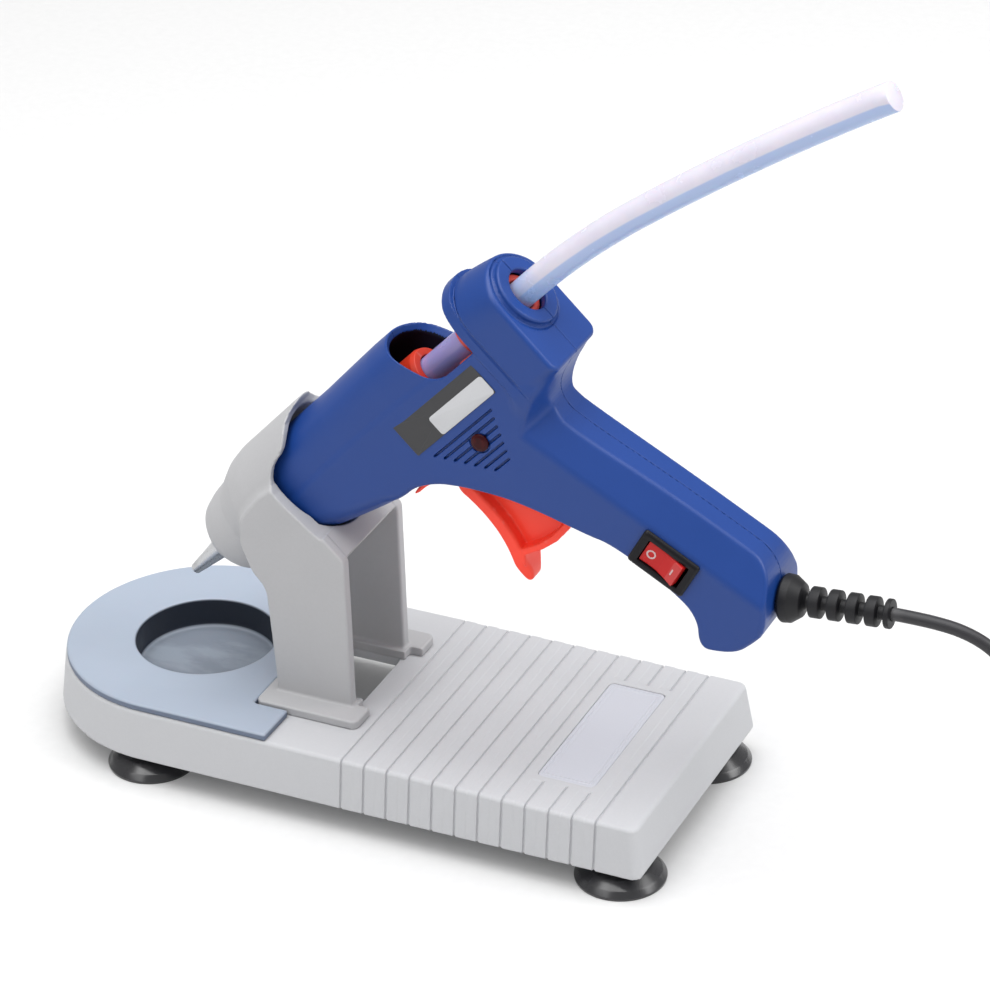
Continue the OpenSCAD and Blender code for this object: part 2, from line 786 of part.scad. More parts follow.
module plug_lead() {
    color("#2d2c31") on_table() tube(lead_route, cord_d / 2);
}

module at_plug() {
    on_table() translate(plug_at) rotate([0, 90, 0]) children();
}

plug_half = [6.6, 13];
pin_gap = 18.6;
pin_len = 19;
relief_l = 14;
plug_l = 35;

module plug_body() {
    color("#26262a") at_plug() {
        cylinder(h = relief_l, r1 = 2.4, r2 = 4);
        hull() {
            translate([0, 0, relief_l - 0.5]) cylinder(h = 1, r = 5, $fn = 32);
            for (x = [-1, 1], y = [-1, 1])
                translate([x * (plug_half[0] - 3), y * (plug_half[1] - 3), relief_l + 14])
                    cylinder(h = plug_l - 14, r = 3, $fn = 32);
        }
    }
}

module plug_pins() {
    color("#c9c6bd") at_plug() for (side = [-1, 1])
        translate([0, side * pin_gap / 2, relief_l + plug_l]) cylinder(h = pin_len, r = pin_r);
}

base_shell();
name_plate();
drip_pad();
cradle_bracket();
cradle_screws();
suction_cup_front_left();
suction_cup_front_right();
suction_cup_rear_left();
suction_cup_rear_right();
left_shell();
right_shell();
shell_screws();
nozzle();
valve_ball();
valve_spring();
melt_chamber();
chamber_ring();
ptc_heater();
heater_clip();
inlet_sleeve();
indicator_lens();
indicator_lamp();
rating_label();
switch_body();
switch_terminals();
switch_rocker();
trigger();
trigger_pin();
feed_carriage();
grip_jaw();
return_spring();
glue_stick();
heater_leads();
mains_leads();
cord_clamp();
strain_relief();
power_cord();
cord_coil();
cord_tie();
plug_lead();
plug_body();
plug_pins();
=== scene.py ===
"""Looks of the small hot glue gun in its stand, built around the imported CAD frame.

Shapes are written in millimetres in the place where they belong (stand, gun, switch,
strain relief, plug) and turned into metres in the frame. Moulded parts are level sets of
simple distance functions, meshed here with rounded edges; turned parts are revolved.
"""

import json
import math

import bpy
import numpy as np
from mathutils import Matrix, Vector


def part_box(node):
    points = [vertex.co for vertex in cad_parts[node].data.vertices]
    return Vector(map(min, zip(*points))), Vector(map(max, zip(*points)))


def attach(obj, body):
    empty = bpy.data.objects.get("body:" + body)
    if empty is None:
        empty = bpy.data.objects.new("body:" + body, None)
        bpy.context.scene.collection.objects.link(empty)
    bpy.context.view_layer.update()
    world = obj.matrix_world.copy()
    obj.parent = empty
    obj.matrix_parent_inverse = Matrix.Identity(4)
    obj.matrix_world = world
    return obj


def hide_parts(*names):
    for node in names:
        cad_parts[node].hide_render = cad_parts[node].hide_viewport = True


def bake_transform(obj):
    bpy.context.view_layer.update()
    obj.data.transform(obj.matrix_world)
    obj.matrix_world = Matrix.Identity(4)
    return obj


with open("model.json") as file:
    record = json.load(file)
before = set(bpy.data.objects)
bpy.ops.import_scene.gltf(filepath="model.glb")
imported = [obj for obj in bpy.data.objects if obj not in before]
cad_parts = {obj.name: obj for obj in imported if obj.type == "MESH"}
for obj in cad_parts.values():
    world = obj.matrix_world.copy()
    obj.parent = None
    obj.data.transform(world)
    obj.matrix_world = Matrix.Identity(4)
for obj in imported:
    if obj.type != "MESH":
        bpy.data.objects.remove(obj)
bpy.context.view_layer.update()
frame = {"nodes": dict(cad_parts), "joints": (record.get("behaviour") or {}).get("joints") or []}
scene = bpy.context.scene
MM = 0.001


# ---------------------------------------------------------------- places
class Place:
    """A local millimetre frame: its origin in metres and its three axes."""

    def __init__(self, origin, x, y, z):
        self.origin = np.array(origin, float)
        self.axes = np.array([x, y, z], float)

    def at(self, points):
        return self.origin + np.asarray(points, float) @ self.axes * MM

    def turned(self, vectors):
        return np.asarray(vectors, float) @ self.axes

    def within(self, point, turn_about_y):
        """A place at a point of this one, turned about its y axis (degrees, x towards -z)."""
        a = math.radians(turn_about_y)
        x, y, z = self.axes
        return Place(
            self.at(point),
            math.cos(a) * x - math.sin(a) * z,
            y,
            math.sin(a) * x + math.cos(a) * z,
        )


DRAFT = 1.8
base_lo, base_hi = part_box("base_shell")
nozzle_end_x = base_lo.x + DRAFT * MM
lift_axis = next(j for j in frame["joints"] if j["name"] == "gun_lift")["axis"]
PITCH = math.degrees(math.atan2(lift_axis[2], lift_axis[0]))

TABLE = Place((nozzle_end_x, 0, 0), (1, 0, 0), (0, 1, 0), (0, 0, 1))
STAND = Place((nozzle_end_x, 0, base_hi.z), (1, 0, 0), (0, 1, 0), (0, 0, 1))
TIP_X, TIP_Z = 35.95, 22.55
GUN = STAND.within((TIP_X, 0, TIP_Z), -PITCH)
SWITCH_U, SWITCH_V, SWITCH_LEAN = 127.35, -73.0, 15.0
SWITCH = GUN.within((SWITCH_U, 0, SWITCH_V), -SWITCH_LEAN)
RELIEF_LEAN = 3.75
RELIEF = STAND.within((203.5, 0, 53), 90 - RELIEF_LEAN)
PLUG = TABLE.within((326.05, 6, 6.9), 90)
BASE_LEN, BASE_HALF, BASE_H = 180.0, 38.0, 14.0
DISH_X = BASE_HALF
COS_P, SIN_P = math.cos(math.radians(PITCH)), math.sin(math.radians(PITCH))

# ---------------------------------------------------------------- camera
camera = bpy.data.objects.new("camera", bpy.data.cameras.new("camera"))
scene.collection.objects.link(camera)
camera.data.sensor_width = 36
camera.data.lens = 150.18
camera.data.clip_start, camera.data.clip_end = 0.05, 20
eye = STAND.at((518.49, -824.52, 584.83))
RIGHT, UP, BACK = (
    (0.90731, 0.41998, -0.02036),
    (-0.19176, 0.45641, 0.86887),
    (0.37420, -0.78442, 0.49464),
)
camera.matrix_world = Matrix.Translation(eye) @ Matrix((RIGHT, UP, BACK)).transposed().to_4x4()
scene.camera = camera


# ---------------------------------------------------------------- materials
def srgb(r, g, b):
    """Linear colour of a screen colour given 0 to 255."""
    def one(c):
        c = c / 255
        return c / 12.92 if c <= 0.04045 else ((c + 0.055) / 1.055) ** 2.4
    return (one(r), one(g), one(b), 1.0)


class Nodes:
    """Short hand for building a material's node tree."""

    def __init__(self, name):
        self.material = bpy.data.materials.new(name)
        self.material.use_nodes = True
        self.tree = self.material.node_tree
        self.shader = self.tree.nodes["Principled BSDF"]
        self.place = self.add("ShaderNodeTexCoord").outputs["Object"]

    def add(self, kind, **values):
        node = self.tree.nodes.new(kind)
        for key, value in values.items():
            setattr(node, key, value)
        return node

    def link(self, a, b):
        self.tree.links.new(a, b)

    def set(self, **values):
        for key, value in values.items():
            self.shader.inputs[key.replace("_", " ")].default_value = value

    def noise(self, scale, detail=3.0, roughness=0.55, stretch=None):
        node = self.add("ShaderNodeTexNoise")
        node.inputs["Scale"].default_value = scale
        node.inputs["Detail"].default_value = detail
        node.inputs["Roughness"].default_value = roughness
        source = self.place
        if stretch:
            mapping = self.add("ShaderNodeMapping")
            mapping.inputs["Scale"].default_value = stretch
            self.link(source, mapping.inputs["Vector"])
            source = mapping.outputs["Vector"]
        self.link(source, node.inputs["Vector"])
        return node.outputs["Fac"]

    def range(self, value, low, high, to_low, to_high):
        node = self.add("ShaderNodeMapRange")
        self.link(value, node.inputs["Value"])
        for key, number in (("From Min", low), ("From Max", high), ("To Min", to_low), ("To Max", to_high)):
            node.inputs[key].default_value = number
        return node.outputs["Result"]

    def mix(self, factor, a, b, blend="MIX"):
        node = self.add("ShaderNodeMix", data_type="RGBA", blend_type=blend)
        if isinstance(factor, (int, float)):
            node.inputs["Factor"].default_value = factor
        else:
            self.link(factor, node.inputs["Factor"])
        for key, colour in (("A", a), ("B", b)):
            socket = next(s for s in node.inputs if s.name == key and s.type == "RGBA")
            if isinstance(colour, tuple):
                socket.default_value = colour
            else:
                self.link(colour, socket)
        return next(s for s in node.outputs if s.type == "RGBA")

    def bump(self, height, strength, distance):
        node = self.add("ShaderNodeBump")
        node.inputs["Strength"].default_value = strength
        node.inputs["Distance"].default_value = distance
        self.link(height, node.inputs["Height"])
        self.link(node.outputs["Normal"], self.shader.inputs["Normal"])
        return node

    def math(self, kind, a, b=None):
        node = self.add("ShaderNodeMath", operation=kind)
        for socket, value in zip(node.inputs, (a, b)):
            if isinstance(value, (int, float)):
                socket.default_value = value
            elif value is not None:
                self.link(value, socket)
        return node.outputs[0]


def shade(colour, factor):
    return tuple(min(1.0, c * factor) for c in colour[:3]) + (1.0,)


def plastic(name, colour, rough=0.42, drift=0.06, grain=900.0, grain_depth=0.00003, gloss=0.5,
            edge=0.25, coat=0.0, soft=0.0, glow=0.0):
    """Moulded plastic or rubber: slow colour drift, fine grain, lighter edges that are partly wear and partly
    a painted highlight, a faint painted glow.
    """
    m = Nodes(name)
    slow = m.noise(18.0, 4.0)
    fine = m.noise(grain, 2.0)
    base = m.mix(m.range(slow, 0.3, 0.7, 0, 1), shade(colour, 1 - drift), shade(colour, 1 + drift))
    speck = m.range(fine, 0.35, 0.65, 0, 0.12)
    base = m.mix(speck, base, shade(colour, 0.86))
    if edge:
        # Lighter edges where the surface is sharp: partly wear, partly a painted highlight where light
        # catches them.
        edge_wear_and_sheen = m.add("ShaderNodeNewGeometry").outputs["Pointiness"]
        base = m.mix(m.range(edge_wear_and_sheen, 0.53, 0.62, 0, edge), base,
                     tuple(0.75 * c + 0.25 for c in colour[:3]) + (1.0,))
    m.link(base, m.shader.inputs["Base Color"])
    m.link(m.range(slow, 0.25, 0.75, rough - 0.05, rough + 0.06), m.shader.inputs["Roughness"])
    m.set(Specular_IOR_Level=gloss)
    if coat:
        m.set(Coat_Weight=coat, Coat_Roughness=0.18)
    if soft:
        m.set(Subsurface_Weight=soft, Subsurface_Scale=0.002)
    # A glow on a part that is no lamp is painted light.
    if glow:
        m.set(Emission_Color=colour, Emission_Strength=glow)
    m.bump(fine, 0.35, grain_depth)
    return m.material


def metal(name, colour, rough=0.3, brushed=(1, 1, 1), grain=1500.0, tarnish=None):
    m = Nodes(name)
    slow = m.noise(60.0, 5.0)
    fine = m.noise(grain, 3.0, stretch=brushed)
    other = tarnish or shade(colour, 0.72)
    m.link(m.mix(m.range(slow, 0.42, 0.72, 0, 1), colour, other), m.shader.inputs["Base Color"])
    m.link(m.range(fine, 0.3, 0.7, rough - 0.07, rough + 0.1), m.shader.inputs["Roughness"])
    m.set(Metallic=1.0)
    m.bump(fine, 0.3, 0.00002)
    return m.material


def glue_material():
    """Milky glue with painted light: a painted cool reflection where it faces down, painted shade tinted blue
    and then violet where it runs into the gun, and a faint painted glow.
    """
    m = Nodes("clear_glue")
    cloud = m.noise(140.0, 4.0, stretch=(1, 1, 1))
    normal = m.add("ShaderNodeNewGeometry").outputs["Normal"]
    split = m.add("ShaderNodeSeparateXYZ")
    m.link(normal, split.inputs["Vector"])
    # Faces turned down are tinted cool blue: a painted reflection.
    under = m.range(split.outputs["Z"], -0.04, 0.04, 1, 0)
    milk = m.mix(m.range(cloud, 0.35, 0.65, 0, 1), srgb(219, 215, 227), srgb(213, 209, 223))
    glue_with_painted_light = m.mix(under, milk, srgb(172, 190, 226))
    along = m.add("ShaderNodeVectorMath", operation="DOT_PRODUCT")
    m.link(m.place, along.inputs[0])
    along.inputs[1].default_value = tuple(GUN.axes[0])
    start = float(np.dot(GUN.at((0, 0, 0)), GUN.axes[0]))
    run = along.outputs["Value"]
    # Painted shade, blue and then violet, along the stretch of the stick that runs into the gun.
    painted_blue_shade_by_gun = m.range(run, start + 0.151, start + 0.143, 0, 0.55)
    glue_with_painted_light = m.mix(painted_blue_shade_by_gun, glue_with_painted_light, srgb(128, 168, 222))
    painted_violet_shade_in_gun = m.range(run, start + 0.1425, start + 0.132, 0, 0.65)
    glue_with_painted_light = m.mix(painted_violet_shade_in_gun, glue_with_painted_light, srgb(146, 118, 190))
    m.link(glue_with_painted_light, m.shader.inputs["Base Color"])
    # The same colours, painted light included, feed a faint painted glow.
    m.link(glue_with_painted_light, m.shader.inputs["Emission Color"])
    m.link(m.range(cloud, 0.3, 0.7, 0.18, 0.3), m.shader.inputs["Roughness"])
    m.set(Transmission_Weight=0.06, IOR=1.42, Subsurface_Weight=0.2, Subsurface_Scale=0.002,
          Emission_Strength=0.05)
    return m.material


def lens_material():
    m = Nodes("lamp_lens")
    glow = m.noise(500.0, 2.0)
    m.link(m.mix(m.range(glow, 0.3, 0.7, 0, 1), srgb(44, 10, 16), srgb(66, 14, 18)),
           m.shader.inputs["Base Color"])
    m.set(Roughness=0.3, Specular_IOR_Level=0.15)
    return m.material


def sleeve_material():
    """Woven glass sleeve over a wire."""
    m = Nodes("woven_sleeve")
    waves = m.add("ShaderNodeTexWave", wave_type="BANDS", bands_direction="DIAGONAL")
    waves.inputs["Scale"].default_value = 900.0
    m.link(m.place, waves.inputs["Vector"])
    m.link(m.mix(waves.outputs["Fac"], srgb(208, 200, 180), srgb(228, 222, 206)),
           m.shader.inputs["Base Color"])
    m.set(Roughness=0.8)
    m.bump(waves.outputs["Fac"], 0.5, 0.00008)
    return m.material


def dish_material(colour):
    """Silicone: smears of old glue on the dish's floor, painted shade on that floor, a dark painted shade on
    the wall round it, a painted shadow on the pad's outer side.
    """
    m = Nodes("silicone")
    slow = m.noise(22.0, 4.0)
    smear = m.noise(30.0, 6.0, 0.6, stretch=(1.0, 2.6, 1.0))
    fine = m.noise(1100.0, 2.0)
    base = m.mix(m.range(slow, 0.3, 0.7, 0, 1), shade(colour, 0.97), shade(colour, 1.03))
    split = m.add("ShaderNodeSeparateXYZ")
    m.link(m.place, split.inputs["Vector"])
    height = split.outputs["Z"]
    # The dish's sunken floor: painted shade and smears of old glue go here.
    sunk = m.range(height, base_hi.z - 0.0064, base_hi.z - 0.0058, 1, 0)
    off_x = m.math("SUBTRACT", split.outputs["X"], nozzle_end_x + DISH_X * MM)
    away = m.math("SQRT", m.math("ADD", m.math("MULTIPLY", off_x, off_x),
                                 m.math("MULTIPLY", split.outputs["Y"], split.outputs["Y"])))
    # The dish's wall, to be painted almost black: painted shade.
    wall = m.math("MULTIPLY", m.range(away, 0.01945, 0.01905, 0, 1),
                  m.range(height, base_hi.z - 0.0062, base_hi.z - 0.0056, 0, 1))
    # The pad's outer side below its top: a painted shadow.
    painted_shadow_on_pad_side = m.math("MULTIPLY", m.range(away, 0.021, 0.022, 0, 1),
                 m.range(height, base_hi.z + 0.0017, base_hi.z + 0.0013, 0, 1))
    # Painted shade darkening the dish's floor.
    base = m.mix(m.math("MULTIPLY", sunk, 0.85), base, shade(colour, 0.48))
    streak = m.math("MULTIPLY", m.range(smear, 0.52, 0.64, 0, 0.35), sunk)
    base = m.mix(streak, base, srgb(160, 170, 182))
    # Painted shade on the wall, then the painted shadow on the pad's outer side.
    base = m.mix(wall, base, srgb(30, 36, 48))
    base = m.mix(painted_shadow_on_pad_side, base, srgb(100, 111, 131))
    m.link(base, m.shader.inputs["Base Color"])
    m.link(m.range(smear, 0.4, 0.65, 0.5, 0.32), m.shader.inputs["Roughness"])
    m.set(Specular_IOR_Level=0.4, Subsurface_Weight=0.04, Subsurface_Scale=0.002)
    m.bump(fine, 0.3, 0.00003)
    return m.material


BLUE = (0.008, 0.048, 0.245, 1.0)
M = {
    "housing": plastic("housing_blue", BLUE, 0.40, 0.05, 1400.0, 0.00002, 0.42, 0.0),
    # Almost black inner faces of the housing: painted shade, not the blue plastic's own colour.
    "inside": plastic("housing_inside_painted_shade", (0.004, 0.006, 0.016, 1), 0.6, 0.1, 900.0, 0.00003, 0.2, 0.0),
    "base": plastic("base_plastic", srgb(193, 194, 197), 0.5, 0.012, 1300.0, 0.00003, 0.35, 0.2),
    "panel": plastic("panel_film", srgb(197, 199, 207), 0.35, 0.01, 2200.0, 0.00001, 0.4, 0.0),
    "silicone": dish_material(srgb(159, 169, 184)),
    "bracket": plastic("bracket_plastic", srgb(180, 180, 182), 0.5, 0.015, 1300.0, 0.00003, 0.35, 0.35),
    "steel": metal("steel", srgb(190, 192, 196), 0.28, (1, 1, 6)),
    "nozzle": metal("nozzle_metal", srgb(200, 201, 203), 0.3, (3, 1, 3), 900.0, srgb(150, 150, 150)),
    "aluminium": metal("aluminium", srgb(190, 192, 195), 0.42),
    "brass": metal("brass", srgb(200, 162, 74), 0.35),
    "plug_metal": metal("nickel", srgb(205, 202, 194), 0.22, (8, 1, 1)),
    "phenolic": plastic("phenolic", srgb(120, 76, 48), 0.55, 0.15),
    "ceramic": plastic("ceramic", srgb(96, 98, 102), 0.7, 0.1),
    # The sleeve's red is darkened a little as painted shade for where it sits inside the gun.
    "sleeve": plastic("red_silicone", (0.62, 0.035, 0.012, 1), 0.45, 0.08, soft=0.1),
    "carriage": plastic("carriage_red", (0.70, 0.075, 0.055, 1), 0.4, 0.05, soft=0.1),
    # The trigger's faint glow is painted light that brightens it where the gun shades it; it is no lamp.
    "trigger": plastic("trigger_red", (0.95, 0.062, 0.034, 1), 0.34, 0.04, 1600.0, 0.00001, 0.3, 0.15,
                       soft=0.05, glow=0.12),
    "rocker": plastic("rocker_red", (0.52, 0.016, 0.016, 1), 0.36, 0.04, 1600.0, 0.00001, 0.22, 0.15),
    "black": plastic("switch_black", srgb(15, 14, 19), 0.4, 0.08, 1400.0, 0.00002, 0.22, 0.1),
    "cord": plastic("cord_black", srgb(40, 39, 43), 0.46, 0.1, 1200.0, 0.00003, 0.45, 0.3),
    "relief": plastic("relief_black", srgb(24, 24, 27), 0.5, 0.1, 1100.0, 0.00003, 0.35, 0.15),
    "plug": plastic("plug_black", srgb(32, 32, 35), 0.5, 0.1, 1100.0, 0.00004, 0.4, 0.3),
    "tie": plastic("tie_black", srgb(26, 26, 28), 0.4, 0.1, 1200.0, 0.00003, 0.45, 0.3),
    "cup": plastic("cup_rubber", srgb(42, 42, 45), 0.24, 0.1, 900.0, 0.00001, 0.6, 0.2, coat=0.3),
    "label": plastic("label_film", srgb(62, 62, 64), 0.45, 0.08, 1800.0, 0.00001, 0.35, 0.0),
    "print": plastic("label_print", srgb(204, 205, 208), 0.45, 0.03, 1800.0, 0.00001, 0.35, 0.0),
    "mark": plastic("switch_mark", srgb(206, 178, 178), 0.4, 0.03, 1800.0, 0.00001, 0.4, 0.0),
    "lamp": plastic("lamp_glass", srgb(226, 222, 210), 0.15, 0.05, 900.0, 0.00001, 0.6, 0.0),
    "glue": glue_material(),
    "lens": lens_material(),
    "wire": sleeve_material(),
}


# ---------------------------------------------------------------- meshes
def add_piece(name, points, faces, place, body, nodes, materials, face_slots=None, normals=None,
              smooth=True):
    """A mesh in a place, riding on a body and standing for CAD nodes.

    faces is one array of faces or a list of them.
    """
    groups = [np.asarray(f, np.int32) for f in (faces if isinstance(faces, list) else [faces])]
    mesh = bpy.data.meshes.new(name)
    world = place.at(points)
    mesh.vertices.add(len(world))
    mesh.vertices.foreach_set("co", world.astype(np.float32).ravel())
    loops = np.concatenate([g.ravel() for g in groups])
    sizes = np.concatenate([np.full(len(g), g.shape[1]) for g in groups])
    mesh.loops.add(len(loops))
    mesh.loops.foreach_set("vertex_index", loops)
    mesh.polygons.add(len(sizes))
    starts = np.concatenate([[0], np.cumsum(sizes)[:-1]])
    mesh.polygons.foreach_set("loop_start", starts.astype(np.int32))
    if face_slots is not None:
        mesh.polygons.foreach_set("material_index", np.asarray(face_slots, np.int32))
    mesh.update(calc_edges=True)
    mesh.validate()
    if smooth:
        mesh.shade_smooth()
    if normals is not None:
        mesh.normals_split_custom_set_from_vertices(place.turned(normals).tolist())
    elif smooth:
        mesh.set_sharp_from_angle(angle=math.radians(38))
    for m in materials if isinstance(materials, (list, tuple)) else [materials]:
        mesh.materials.append(m)
    piece = bpy.data.objects.new(name, mesh)
    scene.collection.objects.link(piece)
    if body:
        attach(piece, body)
    if nodes:
        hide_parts(*([nodes] if isinstance(nodes, str) else nodes))
    return piece


def joined(parts):
    """Several (points, faces) as one; faces keep their part's number."""
    points, faces, numbers, start = [], [], [], 0
    for k, (p, f) in enumerate(parts):
        for g in f if isinstance(f, list) else [f]:
            faces.append(np.asarray(g, np.int32) + start)
            numbers.append(np.full(len(g), k))
        points.append(np.asarray(p, float))
        start += len(p)
    return np.concatenate(points), faces, np.concatenate(numbers)


def fillet(points, radii, steps=5):
    """A polyline with its inner corners rounded; radii is one number or one per point."""
    p = [np.array(q, float) for q in points]
    radii = [radii] * len(p) if isinstance(radii, (int, float)) else radii
    out = [p[0]]
    for i in range(1, len(p) - 1):
        a, b = p[i - 1] - p[i], p[i + 1] - p[i]
        la, lb = np.linalg.norm(a), np.linalg.norm(b)
        a, b = a / la, b / lb
        half = math.acos(max(-1, min(1, a @ b))) / 2
        cut = min(radii[i] / max(math.tan(half), 1e-6), 0.49 * la, 0.49 * lb)
        if cut < 1e-4 or half > 1.5:
            out.append(p[i])
            continue
        for t in np.linspace(0, 1, steps + 1):
            out.append((1 - t) ** 2 * (p[i] + cut * a) + 2 * t * (1 - t) * p[i] + t * t * (p[i] + cut * b))
    out.append(p[-1])
    return np.array(out)


def revolve(profile, around=64):
    """Points and faces of a (radius, height) profile turned about z; radius 0 closes it."""
    rows, points, quads, tris = [], [], [], []
    angles = np.arange(around) * 2 * math.pi / around
    for r, z in profile:
        if r < 1e-6:
            rows.append([len(points)])
            points.append((0, 0, z))
        else:
            rows.append(list(range(len(points), len(points) + around)))
            points.extend((r * math.cos(a), r * math.sin(a), z) for a in angles)
    for a, b in zip(rows, rows[1:]):
        for k in range(around):
            n = (k + 1) % around
            if len(a) > 1 and len(b) > 1:
                quads.append((a[k], a[n], b[n], b[k]))
            elif len(a) > 1:
                tris.append((a[k], a[n], b[0]))
            elif len(b) > 1:
                tris.append((a[0], b[n], b[k]))
    faces = [np.array(quads, np.int32)]
    if tris:
        faces.append(np.array(tris, np.int32))
    return np.array(points, float), faces


def spline(points, spacing):
    """Smooth line through points (centripetal), at about even spacing."""
    p = np.array(points, float)
    p = np.vstack([2 * p[0] - p[1], p, 2 * p[-1] - p[-2]])
    fine = []
    for i in range(1, len(p) - 2):
        a, b, c, d = p[i - 1 : i + 3]
        t = np.cumsum([0] + [math.sqrt(np.linalg.norm(q)) for q in (b - a, c - b, d - c)])
        x = np.linspace(t[1], t[2], 24, endpoint=False)[:, None]
        ab = (t[1] - x) / (t[1] - t[0]) * a + (x - t[0]) / (t[1] - t[0]) * b
        bc = (t[2] - x) / (t[2] - t[1]) * b + (x - t[1]) / (t[2] - t[1]) * c
        cd = (t[3] - x) / (t[3] - t[2]) * c + (x - t[2]) / (t[3] - t[2]) * d
        abc = (t[2] - x) / (t[2] - t[0]) * ab + (x - t[0]) / (t[2] - t[0]) * bc
        bcd = (t[3] - x) / (t[3] - t[1]) * bc + (x - t[1]) / (t[3] - t[1]) * cd
        fine.append((t[2] - x) / (t[2] - t[1]) * abc + (x - t[1]) / (t[2] - t[1]) * bcd)
    return resample(np.vstack(fine + [p[-2:-1]]), spacing)


def run_of(line):
    return np.concatenate([[0], np.cumsum(np.linalg.norm(np.diff(line, axis=0), axis=1))])


def resample(line, spacing):
    s = run_of(line)
    n = max(2, int(round(s[-1] / spacing)) + 1)
    t = np.linspace(0, s[-1], n)
    return np.stack([np.interp(t, s, line[:, k]) for k in range(3)], 1)


def stack(rings, closed=False):
    """Points and faces of rings joined one to the next; the ends are capped unless closed."""
    n, rows = len(rings[0]), len(rings)
    points = np.concatenate(rings)
    k = np.arange(n)
    m = (k + 1) % n
    last = rows if closed else rows - 1
    quads = [np.stack([i * n + k, i * n + m, (i + 1) % rows * n + m, (i + 1) % rows * n + k], 1)
             for i in range(last)]
    faces = [np.concatenate(quads)]
    if not closed:
        points = np.concatenate([points, [rings[0].mean(0)], [rings[-1].mean(0)]])
        start = np.stack([np.full(n, rows * n), m, k], 1)
        end = np.stack([np.full(n, rows * n + 1), (rows - 1) * n + k, (rows - 1) * n + m], 1)
        faces.append(np.concatenate([start, end]))
    return points, faces


def tube(line, radii, around=16):
    """Points and faces of a round tube along a line; radii is one number or one per point."""
    n = len(line)
    radii = np.full(n, radii, float) if np.isscalar(radii) else np.asarray(radii, float)
    tangent = np.gradient(line, axis=0)
    tangent /= np.linalg.norm(tangent, axis=1)[:, None]
    side = np.cross(tangent[0], (0, 1, 0) if abs(tangent[0][1]) < 0.9 else (0, 0, 1))
    sides = []
    for t in tangent:
        side = side - (side @ t) * t
        side /= np.linalg.norm(side)
        sides.append(side)
    sides = np.array(sides)
    ups = np.cross(tangent, sides)
    a = np.arange(around) * 2 * math.pi / around
    ring = np.cos(a)[None, :, None] * sides[:, None] + np.sin(a)[None, :, None] * ups[:, None]
    return stack(list(line[:, None] + radii[:, None, None] * ring))


# ---------------------------------------------------------------- the lead
CORD_D = 3.4
COIL_X, COIL_Y = 290.0, 30.0
cord_route = [
    (232.8, 0, 76), (238, 0, 76.1), (244, 0.3, 75.8), (250, 0.8, 74.8),
    (256, 1.3, 72.4), (261, 1.8, 68.4), (265, 2.2, 63), (268, 2.5, 56),
    (269.5, 2.7, 48), (270, 2.8, 40), (270, 2.8, 32), (270.4, 2.8, 24),
    (271.6, 2.8, 17), (274, 2.8, 10.8), (278, 2.8, 5.6), (283, 2.8, 2.6),
    (287, 2.8, 1.8), (291, 2.8, 1.72),
]
lead_route = [
    (290, 6.5, 9.2), (297, 6.5, 9.6), (304, 6.4, 10), (308, 6.2, 9.6), (312, 6, 9),
    (316, 6, 8), (320, 6, 7.2), (323, 6, 6.9), (326.05, 6, 6.9), (334, 6, 6.9),
]
# Where each turn lies in the coil: its radius and height
turn_slots = [(23.4, 2.4), (19.95, 2.4), (16.5, 2.4), (16.5, 5.8), (19.95, 5.8), (23.4, 5.8),
              (19.95, 9.2), (23.5, 9.2)]


def ease(t):
    t = np.clip(t, 0, 1)
    return t * t * (3 - 2 * t)


def coil_line():
    """Turns from the -Y side round to it again; each changes place under the tie on the +Y side."""
    total = 360 * len(turn_slots)
    turn = np.arange(2.0, total + 1, 2.0)
    number = (turn + 180) / 360
    slots = np.array([turn_slots[0], *turn_slots], float)
    k = np.clip(number.astype(int), 0, len(slots) - 1)
    part = ease((number - k) * 360 / 60 + 0.5)
    before = slots[np.clip(k - 1, 0, None)]
    after = slots[k]
    late = ease(((number - k) * 360 - 330) / 30)
    nxt = slots[np.clip(k + 1, None, len(slots) - 1)]
    r, z = (before * (1 - part)[:, None] + after * part[:, None]).T
    r = r + late * 0.5 * (nxt[:, 0] - after[:, 0])
    z = z + late * 0.5 * (nxt[:, 1] - after[:, 1])
    inwards = ease(turn / 150)
    r = np.where(turn < 180, (1 - inwards) * 27.2 + inwards * turn_slots[0][0], r)
    z = np.where(turn < 180, (1 - inwards) * 1.75 + inwards * turn_slots[0][1], z)
    a = np.radians(turn - 90)
    return np.stack([COIL_X + r * np.cos(a), COIL_Y + r * np.sin(a), z], 1)


free_part = spline(cord_route, 1.4)
cord_line = resample(np.vstack([free_part[:-1], coil_line()[:-1], spline(lead_route, 1.4)]), 1.8)
points, faces = tube(cord_line, CORD_D / 2, 14)
cord = add_piece("power_cord_black", points, faces, TABLE, None, ["power_cord", "cord_coil", "plug_lead"],
                 M["cord"])
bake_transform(cord)

# Strain relief: gland, bulb and four bending ribs
relief_profile = [(0, -4.6), (4.6, -4.6), (4.6, -3), (4, -3), (4, 0.5), (5.8, 0.6), (6.25, 1.2), (6.1, 3.3),
                  (4.3, 5.9), (2.6, 6.3), (1.8, 7)]
for i in range(4):
    s, r = 8.0 + 4.95 * i, 4.0 - 0.04 * i
    relief_profile += [(1.8, s), (r, s + 0.15), (r, s + 2.85), (1.8, s + 3.0)]
relief_profile += [(1.8, 27.7), (3.8, 27.9), (3.8, 29.2), (1.75, 29.3), (1.7, 28.6), (0, 28.6)]
points, faces = revolve(fillet(relief_profile, [0.3] * 6 + [0.4] * 5 + [0.3] * 40, 4), 72)
relief = add_piece("cord_strain_relief", points, faces, RELIEF, "gun", "strain_relief",
                   M["relief"])


